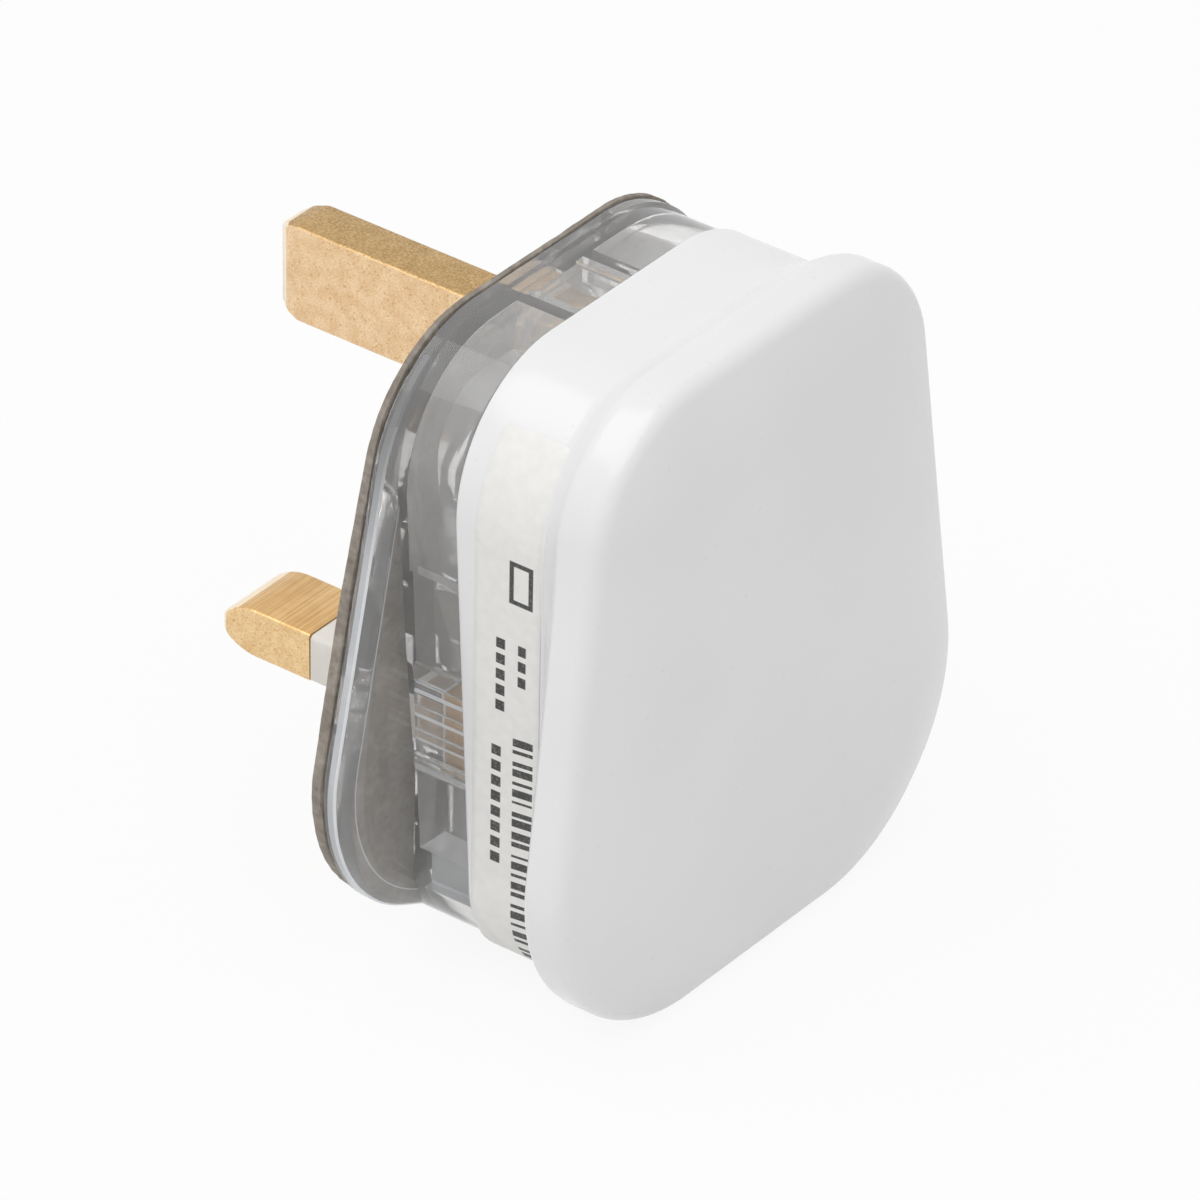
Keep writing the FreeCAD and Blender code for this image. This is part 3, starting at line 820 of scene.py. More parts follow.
@dataclass(frozen=True)
class FibreBoard:
    """Pressed grey board with fibres, in brownish tones."""

    name: str
    colour: Colour
    pale: Colour
    fibre: Colour

    def made(self) -> bpy.types.Material:
        """Build the material.

        Returns:
            The board.
        """
        finish = Finish(self.name)
        wiring = finish.wiring
        cloud = finish.effect("mottle", Scale=500.0, Detail=8.0)
        hairs = finish.effect("streaks", Scale=1800.0, Long=0.18, Turn=0.7)
        spots = finish.effect("speckle", Scale=1300.0, Size=0.5)
        base = wiring.tint(cloud.outputs["Mask"], self.colour, self.pale)
        base = wiring.tint(wiring.maths("MULTIPLY", hairs.outputs["Mask"], 0.35), base, self.fibre)
        base = wiring.tint(wiring.maths("MULTIPLY", spots.outputs["Mask"], 0.3), base, self.fibre)
        finish.set(Base_Color=base, Metallic=0.0, IOR=1.45)
        finish.set(Roughness=wiring.ramp(cloud.outputs["Mask"], 0.0, 1.0, 0.75, 0.92))
        finish.bump(wiring.maths("ADD", cloud.outputs["Height"], hairs.outputs["Height"]), 0.5, 0.12)
        return finish.material


@dataclass(frozen=True)
class PrintedPaper:
    """White paper strip with a field of plain bars, rows of dashes and an empty box.

    Each patch of print has two limits across the strip and two along it, in millimetres.
    """

    middle_y: float
    tilt_deg: float
    colour: Colour = shade(242, 241, 238)
    second: Colour = shade(237, 236, 233)
    ink: Colour = shade(52, 50, 50)
    lean: float = 0.12
    bar_pace: float = 6.9
    bar_beats: tuple[tuple[float, float], ...] = ((2.9, 0.7), (11.3, 0.6))
    bar_field: Patch = (-2.5, -0.7, -30.3, -7.4)
    dash_pace: float = 4.6
    dash_rows: tuple[Patch, ...] = (
        (0.35, 1.2, -19.46, -8.54), (-1.75, -1.05, -3.07, 1.02), (0.1, 0.9, -5.8, 1.02),
    )
    box_outside: Patch = (-2.3, -0.2, 4.2, 7.9)
    box_inside: Patch = (-1.9, -0.6, 4.6, 7.5)

    def band(self, wiring: Wiring, value: bpy.types.NodeSocket, low: float, high: float,
             soft: float = 0.05) -> bpy.types.NodeSocket:
        """Mark where a coordinate lies between two limits.

        Args:
            wiring: Wiring of the material.
            value: The coordinate in millimetres.
            low: Lower limit.
            high: Upper limit.
            soft: Width of each limit's fade.

        Returns:
            A socket that is 1 inside.
        """
        rise = wiring.ramp(value, low - soft, low + soft)
        fall = wiring.ramp(value, high - soft, high + soft)
        return wiring.maths("SUBTRACT", rise, fall, clamp=True)

    def patch(self, wiring: Wiring, across: bpy.types.NodeSocket, along: bpy.types.NodeSocket,
              limits: Patch) -> bpy.types.NodeSocket:
        """Mark a patch of the strip.

        Args:
            wiring: Wiring of the material.
            across: Place across the strip in millimetres.
            along: Place along it.
            limits: The patch's limits.

        Returns:
            A socket that is 1 inside.
        """
        low, high, start, end = limits
        column = self.band(wiring, across, low, high)
        return wiring.maths("MULTIPLY", column, self.band(wiring, along, start, end))

    def marks(self, finish: Finish) -> bpy.types.NodeSocket:
        """Lay out the printed shapes along and across the strip.

        Args:
            finish: The material under construction.

        Returns:
            A mask of the ink.
        """
        wiring = finish.wiring
        parts = wiring.add("SeparateXYZ", {0: finish.place})
        along = wiring.maths("MULTIPLY", parts.outputs["Z"], 1.0 / MM)
        slope = math.sin(math.radians(self.tilt_deg))
        across = wiring.maths("MULTIPLY_ADD", parts.outputs["Y"], 1.0 / MM, -self.middle_y)
        across = wiring.maths("MULTIPLY_ADD", along, slope, across)
        leaning = wiring.maths("MULTIPLY_ADD", across, self.lean, along)
        beat = wiring.maths("SINE", wiring.maths("MULTIPLY", leaning, self.bar_pace))
        for pace, size in self.bar_beats:
            other = wiring.maths("SINE", wiring.maths("MULTIPLY", leaning, pace))
            beat = wiring.maths("MULTIPLY_ADD", other, size, beat)
        bars = wiring.ramp(beat, -0.08, 0.12)
        ink = wiring.maths("MULTIPLY", bars, self.patch(wiring, across, along, self.bar_field))
        dashes = wiring.maths("SINE", wiring.maths("MULTIPLY", along, self.dash_pace))
        dashes = wiring.ramp(dashes, -0.55, -0.35)
        for limits in self.dash_rows:
            row = self.patch(wiring, across, along, limits)
            ink = wiring.maths("MAXIMUM", ink, wiring.maths("MULTIPLY", row, dashes))
        for limits, sign in ((self.box_outside, 1.0), (self.box_inside, -1.0)):
            field = self.patch(wiring, across, along, limits)
            ink = wiring.maths("MULTIPLY_ADD", field, sign, ink, clamp=True)
        return ink

    def made(self) -> bpy.types.Material:
        """Build the material.

        Returns:
            The paper.
        """
        finish = Finish("paper")
        wiring = finish.wiring
        cloud = finish.effect("mottle", Scale=1100.0, Detail=9.0)
        worn = finish.effect("mottle", Scale=5200.0, Detail=3.0)
        base = wiring.tint(cloud.outputs["Mask"], self.colour, self.second)
        strength = wiring.ramp(worn.outputs["Mask"], 0.0, 0.4, 0.86, 0.97)
        ink = wiring.maths("MULTIPLY", self.marks(finish), strength)
        finish.set(Base_Color=wiring.tint(ink, base, self.ink), Metallic=0.0, IOR=1.45)
        finish.set(Roughness=wiring.ramp(cloud.outputs["Mask"], 0.0, 1.0, 0.42, 0.55))
        finish.bump(cloud.outputs["Height"], 0.15, 0.015)
        return finish.material


@dataclass
class Cover:
    """The white cap with its wide rounded lip."""

    body: Outline = WALLS
    lip: Outline = Outline(((18.0, 21.0, 10.7), (24.2, -21.1, 14.5), (14.6, -31.4, 14.5)))
    proud: float = 0.35
    wall: float = 2.0
    joint_y: float = -6.95
    ceiling_y: float = -19.7
    ceiling_round: tuple[tuple[float, float], ...] = ((0.5, 0.0), (0.15, 0.15), (0.0, 0.5))
    face_y: float = -22.1
    lip_rear: float = -17.6
    lip_cove: float = 3.4
    lip_round: float = 1.5
    crown: float = 1.4
    crown_reach: float = 8.0
    rim_round: float = 0.25
    ease: float = 0.3
    steps: int = 14
    rim_steps: int = 4
    boss_z: float = -2.0
    boss_radius: float = 4.4
    boss_end_y: float = -7.2
    nut_flats: float = 6.12
    nut_bed: float = 2.46
    tip_radius: float = 2.1
    tip_depth: float = 5.8
    cord_radius: float = 4.4
    cord_y: float = -6.9
    foot_z: float = -31.4

    def swell(self, share: float) -> float:
        """Give how far the wall has swelled out to the lip.

        Args:
            share: How far along the swell, from 0 to 1.

        Returns:
            The share of the way out, eased at both ends.
        """
        steep = 1 / (1 - self.ease)
        if share < self.ease:
            return steep * share ** 2 / (2 * self.ease)
        if share > 1 - self.ease:
            return 1 - steep * (1 - share) ** 2 / (2 * self.ease)
        return steep * (share - self.ease / 2)

    def rings(self) -> list[np.ndarray]:
        """List the rings from the hollow's ceiling, round the rim, over the lip to the crowned face.

        Returns:
            The rings in order.
        """
        outer = self.body.grown(self.proud)
        inner = outer.grown(-self.wall)
        found = [inner.grown(-inset).ring(self.ceiling_y + rise) for inset, rise in self.ceiling_round]
        found.append(inner.ring(self.joint_y - self.rim_round))
        for index in range(1, self.rim_steps + 1):
            turn = math.pi / 2 * index / self.rim_steps
            away = self.rim_round * (1 - math.cos(turn))
            found.append(inner.grown(away).ring(self.joint_y - self.rim_round * (1 - math.sin(turn))))
        for index in range(self.rim_steps + 1):
            turn = math.pi / 2 * index / self.rim_steps
            away = self.rim_round * (1 - math.sin(turn))
            found.append(outer.grown(-away).ring(self.joint_y - self.rim_round * (1 - math.cos(turn))))
        cove_y = self.lip_rear + self.lip_cove
        for share in (0.25, 0.5, 0.75):
            found.append(outer.ring(self.joint_y + (cove_y - self.joint_y) * share))
        for index in range(2 * self.steps + 1):
            share = index / (2 * self.steps)
            found.append(outer.blended(self.lip, self.swell(share)).ring(cove_y - self.lip_cove * share))
        # The arc of the lip's edge runs on, without a crease, into the slope where the crown starts.
        slope = math.atan(2 * self.crown / self.crown_reach)
        edge_y = self.face_y + self.crown
        side_y = edge_y + self.lip_round * math.cos(slope)
        for index in range(self.steps + 1):
            turn = (math.pi / 2 - slope) * index / self.steps
            away = self.lip_round * (1 - math.cos(turn))
            found.append(self.lip.grown(-away).ring(side_y - self.lip_round * math.sin(turn)))
        edge = self.lip.grown(-self.lip_round * (1 - math.sin(slope)))
        for index in range(1, self.steps + 1):
            share = index / self.steps
            rise = self.crown * (1 - (1 - share) ** 2)
            found.append(edge.grown(-self.crown_reach * share).ring(edge_y - rise))
        return found

    def built(self) -> bpy.types.Object:
        """Build the cap with its boss, nut bed and half of the cord opening.

        Returns:
            The cover.
        """
        cap = Workbench.lofted("white_cover", self.rings())
        boss_long = self.boss_end_y - self.ceiling_y + PAST
        middle = self.boss_end_y - boss_long / 2
        boss = Workbench.rod("boss", Axis.ALONG_Y, (0.0, middle, self.boss_z), self.boss_radius, boss_long)
        Workbench.fold(cap, boss, Fold.ADD)
        bed_long = self.nut_bed + PAST
        bed_y = self.boss_end_y + PAST - bed_long / 2
        corner = self.nut_flats / math.sqrt(3)
        bed = Workbench.rod("bed", Axis.ALONG_Y, (0.0, bed_y, self.boss_z), corner, bed_long, sides=6)
        Workbench.fold(cap, bed, Fold.CUT)
        tip_long = self.tip_depth + PAST
        tip_y = self.boss_end_y + PAST - tip_long / 2
        tip_at = (0.0, tip_y, self.boss_z)
        tip = Workbench.rod("tip", Axis.ALONG_Y, tip_at, self.tip_radius, tip_long, sides=32)
        Workbench.fold(cap, tip, Fold.CUT)
        low, high = self.foot_z - PAST, self.body.corners[2][1] + 2 * self.wall
        hole_z = (low + high) / 2
        hole = Workbench.rod("hole", Axis.ALONG_Z, (0.0, self.cord_y, hole_z), self.cord_radius, high - low)
        Workbench.fold(cap, hole, Fold.CUT)
        Workbench.smooth(cap, 38.0)
        return cap

    def dressed(self, cap: bpy.types.Object) -> None:
        """Give the cap its finish and its place.

        Args:
            cap: The cover.
        """
        plastic = GlossyPlastic(
            "white_plastic", shade(238, 238, 239), shade(235, 235, 236), rough_low=0.17, rough_high=0.24,
        )
        Workbench.single_slot(cap, plastic.made())
        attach(cap, BODY)
        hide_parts("cover")


@dataclass
class ClearBase:
    """The clear moulding that carries the pins, with its flange, finger recess, walls and inner ribs."""

    flange: Outline = Outline(((16.66, 19.65, 12.0), (26.6, -22.3, 13.8), (7.0, -31.4, 12.0)))
    body: Outline = WALLS
    rim_edge: float = 0.9
    rim_bevel: float = 0.5
    # Widths of the rim bands painted as highlights, and the heights over which they fade.
    rim_bright: float = 0.16
    rim_pale: float = 0.5
    rim_fade: tuple[float, float] = (14.0, 18.0)
    rim_strip: float = 1.1
    rim_slope: float = 0.3
    scoop_rise: float = 1.3
    scoop_reach: float = 7.8
    scoop_steps: int = 12
    crease: float = 0.12
    crease_wide: float = 0.09
    wall: float = 2.0
    joint_y: float = -6.9
    floor_y: float = -4.0
    gutter_y: float = -1.5
    gutter: float = 3.0
    foot_steps: int = 4
    root_y: float = -1.2
    root_sunk: float = 0.5
    wall_sunk: float = 0.02
    rib_y: float = -6.8
    soften: float = 0.14
    half_pitch: float = HALF_PITCH
    rib_thick: float = 1.1
    earth_rib_x: float = 3.25
    earth_rib_z: tuple[float, float] = (7.615, 18.4)
    wall_rib_x: tuple[float, float] = (-16.0, -14.665)
    wall_rib_pitch: float = 2.1
    wall_ribs: int = 4
    head_pad: tuple[float, float, float] = (9.5, 14.6, 3.4)
    rib_flank: float = 0.26
    post: tuple[float, float, float] = (13.2, -24.0, 1.7)
    closing_z: float = -2.0
    column_radius: float = 3.7
    closing_radius: float = 2.1
    closing_bore: tuple[float, float] = (-3.5, 12.0)
    head_radius: float = 3.5
    head_y: float = -2.18
    grip_post: tuple[float, float, float, float] = (8.3, -22.5, 2.3, 2.5)
    grip_top_y: float = -9.1
    grip_bore: tuple[float, float] = (1.45, -4.1)
    shelf: tuple[float, float, float, float, float] = (5.225, 12.525, 6.085, 15.585, -5.2)
    fuse: tuple[float, float, float, float] = (9.925, -9.055, 3.175, -1.215)
    fuse_room: float = 4.0
    tab_y: float = -8.5
    tab_in: float = 1.8
    tab_thick: float = 1.0
    side_tab_z: tuple[float, float] = (-6.0, 2.0)
    top_tab_half: float = 2.5
    earth_slot: tuple[float, float] = (4.1, 8.07)
    line_slot: tuple[float, float] = (6.47, 4.1)
    cord_radius: float = 4.4
    cord_z: tuple[float, float] = (-32.4, -26.7)

    def skin(self) -> bpy.types.Object:
        """Build the flange with its finger recess and the walls, closed.

        Returns:
            The outer form.
        """
        strip = self.flange.grown(-self.rim_bevel - self.rim_strip)
        bevel_y = -self.rim_edge - self.rim_bevel
        strip_y = bevel_y - self.rim_slope
        rings = [self.flange.grown(-self.crease).ring(0.0), self.flange.ring(-self.crease)]
        bright = self.rim_bright
        rings += [self.flange.ring(-self.rim_edge + self.rim_pale), self.flange.ring(-self.rim_edge)]
        rings.append(self.flange.grown(-bright).ring(-self.rim_edge - bright))
        rings.append(self.flange.grown(-self.rim_bevel).ring(bevel_y))
        crease_y = strip_y + self.crease_wide * self.rim_slope / self.rim_strip
        rings.append(strip.grown(self.crease_wide).ring(crease_y))
        deep = strip.grown(-self.scoop_reach)
        for index in range(self.scoop_steps + 1):
            turn = math.pi / 2 * index / self.scoop_steps
            y = strip_y - self.scoop_rise * (1 - math.cos(turn))
            rings.append(strip.blended(deep, math.sin(turn)).ring(y))
        # Bands 2 and 6 take the rim's painted highlight, and band 3 the edges' brighter painted highlight.
        flange = Workbench.lofted("clear_base", rings, {2: Slot.RIM, 3: Slot.EDGES, 6: Slot.RIM})
        self.fade_rim(flange)
        edge = self.crease
        walls = [self.body.ring(-self.wall_sunk), self.body.ring(self.joint_y + edge)]
        walls.append(self.body.grown(-edge).ring(self.joint_y))
        # The band at the joint takes the edges' painted highlight.
        Workbench.fold(flange, Workbench.lofted("walls", walls, {1: Slot.EDGES}), Fold.ADD)
        return flange

    def fade_rim(self, flange: bpy.types.Object) -> None:
        """Let the rim's bright lines fade out towards the top, where no light runs along them.

        Args:
            flange: The lofted flange, with its bright bands set.
        """
        start, end = (level * MM for level in self.rim_fade)
        for face in flange.data.polygons:
            if face.material_index != Slot.MAIN and face.center.z > start:
                face.material_index = Slot.MAIN if face.center.z > end else Slot.RIM

    def hollow(self) -> bpy.types.Object:
        """Build the room inside the walls, with a rounded foot.

        Returns:
            The piece that is cut away.
        """
        inner = self.body.grown(-self.wall)
        mouth = inner.grown(self.crease)
        rings = [mouth.ring(self.joint_y - PAST), mouth.ring(self.joint_y)]
        rings.append(inner.ring(self.joint_y + self.crease))
        for index in range(self.foot_steps + 1):
            turn = math.pi / 2 * index / self.foot_steps
            away = self.crease * (1 - math.cos(turn))
            rings.append(inner.grown(-away).ring(self.gutter_y - self.crease * (1 - math.sin(turn))))
        return Workbench.lofted("room", rings)

    def floor(self) -> bpy.types.Object:
        """Build the raised floor, with a gutter left along the walls.

        Returns:
            The floor.
        """
        raised = self.body.grown(-self.wall - self.gutter)
        rings = [raised.ring(self.root_y + self.root_sunk), raised.ring(self.floor_y + self.crease)]
        rings.append(raised.grown(-self.crease).ring(self.floor_y))
        return Workbench.lofted("floor", rings)

    def pad(self, side: int) -> bpy.types.Object:
        """Build the raised pad under one line terminal, out to the gutter.

        Args:
            side: -1 for the left side, 1 for the right.

        Returns:
            The pad.
        """
        inner, outer, half = self.head_pad
        near, far = sorted((side * inner, side * outer))
        low = (near, self.floor_y, -self.half_pitch - half)
        high = (far, self.root_y, -self.half_pitch + half)
        return Workbench.block("head_pad", low, high, self.crease)

    def wall_half(self, z: float) -> float:
        """Give the walls' half width at a height."""
        (top, high, _), (low, foot, _) = self.body.corners[:2]
        return low + (top - low) * (z - foot) / (high - foot)

    def ribs(self) -> list[bpy.types.Object]:
        """Build the ribs, posts, seats and tabs that stand on the floor.

        Returns:
            The pieces that are added.
        """
        made = [self.floor()]
        post_x, post_z, post_half = self.post
        grip_x, grip_z, grip_wide, grip_tall = self.grip_post
        # Chamfers of softened blocks take the edges' painted highlight, and the corner posts take the rim's
        # painted highlight all over.
        for side in (-1, 1):
            near, far = sorted((side * self.earth_rib_x, side * (self.earth_rib_x + self.rib_thick)))
            low, high = self.earth_rib_z
            low_corner, high_corner = (near, self.rib_y, low), (far, self.root_y, high)
            made.append(Workbench.block("earth_rib", low_corner, high_corner, self.soften))
            low_corner = (side * post_x - post_half, self.rib_y, post_z - post_half)
            high_corner = (side * post_x + post_half, self.root_y, post_z + post_half)
            made.append(Workbench.block("corner_post", low_corner, high_corner, self.soften, Slot.RIM))
            low_corner = (side * grip_x - grip_wide, self.grip_top_y, grip_z - grip_tall)
            high_corner = (side * grip_x + grip_wide, self.root_y, grip_z + grip_tall)
            made.append(Workbench.block("grip_post", low_corner, high_corner, self.soften))
            made.append(self.side_tab(side))
            made.append(self.pad(side))
        for index in range(self.wall_ribs):
            place = index - (self.wall_ribs - 1) / 2
            made.append(self.wall_rib(-self.half_pitch + place * self.wall_rib_pitch))
        top = self.body.corners[0][1] - self.tab_in
        ends = (-self.top_tab_half, self.tab_y, top - self.tab_thick), (self.top_tab_half, self.root_y, top)
        made.append(Workbench.block("top_tab", *ends, self.soften))
        left, right, low, high, seat = self.shelf
        made.append(Workbench.block("clip_seat", (left, seat, low), (right, self.root_y, high), self.soften))
        made.append(self.cradle())
        long = self.root_y - self.joint_y
        middle = (0.0, self.root_y - long / 2, self.closing_z)
        made.append(Workbench.rod("column", Axis.ALONG_Y, middle, self.column_radius, long))
        return made

    def wall_rib(self, z: float) -> bpy.types.Object:
        """Build one of the ribs on the left wall, with slanting flanks.

        Args:
            z: Height of its middle.

        Returns:
            The rib.
        """
        root, top = self.wall_rib_x
        foot = -self.wall_half(z) + self.wall
        half = self.rib_thick / 2
        rings = []
        for x, inset in ((root, 0.0), (foot, 0.0), (top, self.rib_flank)):
            low_y, high_y = self.rib_y + inset, self.root_y
            corners = ((low_y, z - half + inset), (high_y, z - half + inset), (high_y, z + half - inset))
            corners += ((low_y, z + half - inset),)
            rings.append(np.array([(x, y, height) for y, height in corners]))
        # The rib's flanks take the edges' painted highlight.
        return Workbench.lofted("wall_rib", rings, {1: Slot.EDGES})

    def side_tab(self, side: int) -> bpy.types.Object:
        """Build one side's locating tab.

        Args:
            side: 1 for the right side, -1 for the left.

        Returns:
            The tab.
        """
        low, high = self.side_tab_z
        outer = [(self.wall_half(z) - self.tab_in, z) for z in (low, high)]
        corners = outer + [(x - self.tab_thick, z) for x, z in reversed(outer)]
        ends = [np.array([(side * x, y, z) for x, z in corners]) for y in (self.root_y, self.tab_y)]
        return Workbench.lofted("side_tab", ends)

    def cradle(self) -> bpy.types.Object:
        """Build the rib under the fuse's middle.

        Returns:
            The cradle.
        """
        x, y, radius, z = self.fuse
        half = self.rib_thick / 2
        low, high = (x - radius, y + radius / 2, z - half), (x + radius, self.root_y, z + half)
        rib = Workbench.block("cradle", low, high)
        room = Workbench.rod("fuse_room", Axis.ALONG_Z, (x, y, z), radius, self.fuse_room)
        Workbench.fold(rib, room, Fold.CUT)
        return rib

    def bores(self) -> list[bpy.types.Object]:
        """Build the pin slots, the screws' bores and the cord's opening.

        Returns:
            The pieces that are cut away.
        """
        made = []
        half = self.half_pitch
        for x, z, (wide, tall) in (
            (0.0, half, self.earth_slot), (-half, -half, self.line_slot), (half, -half, self.line_slot),
        ):
            low = (x - wide / 2, self.floor_y - PAST, z - tall / 2)
            high = (x + wide / 2, PAST, z + tall / 2)
            made.append(Workbench.block("pin_slot", low, high))
        middle_y, bore_long = self.closing_bore
        centre = (0.0, middle_y, self.closing_z)
        made.append(Workbench.rod("closing_bore", Axis.ALONG_Y, centre, self.closing_radius, bore_long))
        head_long = PAST - self.head_y
        centre = (0.0, self.head_y + head_long / 2, self.closing_z)
        made.append(Workbench.rod("head_bore", Axis.ALONG_Y, centre, self.head_radius, head_long))
        radius, bottom = self.grip_bore
        bore_long = bottom - self.grip_top_y + PAST
        for side in (-1, 1):
            centre = (side * self.grip_post[0], bottom - bore_long / 2, self.grip_post[1])
            made.append(Workbench.rod("grip_bore", Axis.ALONG_Y, centre, radius, bore_long, sides=40))
        low, high = self.cord_z
        centre = (0.0, self.joint_y, (low + high) / 2)
        made.append(Workbench.rod("cord_hole", Axis.ALONG_Z, centre, self.cord_radius, high - low))
        return made

    def built(self) -> bpy.types.Object:
        """Build the whole clear base.

        Returns:
            The base.
        """
        base = self.skin()
        Workbench.fold(base, self.hollow(), Fold.CUT)
        for rib in self.ribs():
            Workbench.fold(base, rib, Fold.ADD)
        for bore in self.bores():
            Workbench.fold(base, bore, Fold.CUT)
        Workbench.smooth(base, 30.0)
        return base

    def dressed(self, base: bpy.types.Object) -> None:
        """Give the base its clear finish, with bands painted as highlights along the edges, and its place.

        Args:
            base: The clear base.
        """
        # The edge and rim finishes are painted highlights, which are painted darker towards the top as
        # painted shade.
        top_shade = (0.3, 0.3, 0.3, 1.0)
        clear = ClearPlastic(
            "clear_plastic", (0.935, 0.93, 0.923, 1.0),
            clear=0.88, ior=1.45, rough_low=0.015, rough_high=0.035,
        )
        edges = ClearPlastic(
            "clear_edge_highlight", (0.8, 0.82, 0.845, 1.0),
            clear=0.05, rough_low=0.08, rough_high=0.14, top_shade=top_shade,
        )
        rim = ClearPlastic(
            "clear_rim_highlight", (0.68, 0.7, 0.725, 1.0),
            clear=0.3, ior=1.45, rough_low=0.05, rough_high=0.1, top_shade=top_shade,
        )
        for slot, plastic in ((Slot.MAIN, clear), (Slot.EDGES, edges), (Slot.RIM, rim)):
            base.data.materials[slot] = plastic.made()
        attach(base, BODY)
        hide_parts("base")


@dataclass
class PinStock:
    """A brass bar along Y with a terminal head on its inner end."""

    node: str
    x: float
    z: float
    wide: float
    tall: float
    edge: float = 0.25
    head_y: float = -4.03
    head_wide: float = 6.8
    head_tall: float = 6.6
    head_rise: float = 6.6
    head_chamfer: float = 0.5
    head_edge: float = 0.12
    bury: float = 0.4
    wire_radius: float = 1.6
    wire_rise: float = 2.6
    screw_radius: float = 1.55
    # Nose faces that point forward more than this take the paler brass, a painted highlight.
    highlight_from: float = 0.4

    def section(self, y: float, in_x: float = 0.0, in_z: float = 0.0,
                edge: float | None = None) -> np.ndarray:
        """Sample the bar's section at a depth.

        Args:
            y: The depth.
            in_x: How much narrower it is there, on each side.
            in_z: How much lower it is there, above and below.
            edge: Radius of its long edges there, if it isn't the bar's own.

        Returns:
            One row of X, Y, Z per point, in millimetres.
        """
        size = self.wide - 2 * in_x, self.tall - 2 * in_z
        return Workbench.oblong((self.x, y, self.z), *size, self.edge if edge is None else edge)

    def head(self) -> bpy.types.Object:
        """Build the terminal head with its wire hole and screw hole.

        Returns:
            The head.
        """
        top_y = self.head_y - self.head_rise
        rings = []
        for y, inset in ((self.head_y, 0.0), (top_y + self.head_chamfer, 0.0), (top_y, self.head_chamfer)):
            size = self.head_wide - 2 * inset, self.head_tall - 2 * inset
            rings.append(Workbench.oblong((self.x, y, self.z), *size, self.head_edge))
        made = Workbench.lofted("head", rings)
        wire_y = self.head_y - self.wire_rise
        centre = (self.x, wire_y, self.z)
        wire = Workbench.rod("wire", Axis.ALONG_Z, centre, self.wire_radius, 2 * self.head_tall, sides=48)
        Workbench.fold(made, wire, Fold.CUT)
        long = wire_y - top_y + PAST
        centre = (self.x, wire_y - long / 2, self.z)
        screw = Workbench.rod("screw", Axis.ALONG_Y, centre, self.screw_radius, long, sides=48)
        Workbench.fold(made, screw, Fold.CUT)
        return made

    def dressed(self, pin: bpy.types.Object, metal: bpy.types.Material, nose_highlight: bpy.types.Material) -> None:
        """Give the pin its finishes and its place.

        Args:
            pin: The pin.
            metal: Its brass.
            nose_highlight: The paler brass painted on its nose as a highlight.
        """
        Workbench.single_slot(pin, metal)
        pin.data.materials.append(nose_highlight)
        for face in pin.data.polygons:
            # Forward faces of the nose take the paler brass, a painted highlight.
            face.material_index = int(face.normal.y > self.highlight_from and face.center.y > 0.0)
        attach(pin, BODY)
        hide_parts(self.node)


@dataclass
class EarthPin(PinStock):
    """The long upright pin, bevelled in two steps to a blunt nose."""

    nose: tuple[tuple[float, float], ...] = ((0.0, 20.4), (0.28, 21.5), (0.75, 22.3))
    soft: float = 0.1
    tip_edge: float = 0.2

    def built(self) -> bpy.types.Object:
        """Build the pin.

        Returns:
            The earth pin.
        """
        rings = [self.section(self.head_y - self.bury)]
        (_, start), (shoulder, middle), (tip, end) = self.nose
        for y, inset in (
            (start - self.soft, 0.0), (start + self.soft, 0.02),
            (middle - self.soft, shoulder - 0.03), (middle + self.soft, shoulder + 0.05),
            (end - self.soft, tip - 0.06), (end - 0.02, tip + 0.02),
        ):
            rings.append(self.section(y, inset, inset))
        rings.append(self.section(end, tip + 0.12, tip + 0.12, self.tip_edge))
        pin = Workbench.lofted("earth_pin_brass", rings)
        Workbench.fold(pin, self.head(), Fold.ADD)
        Workbench.smooth(pin, 34.0)
        return pin


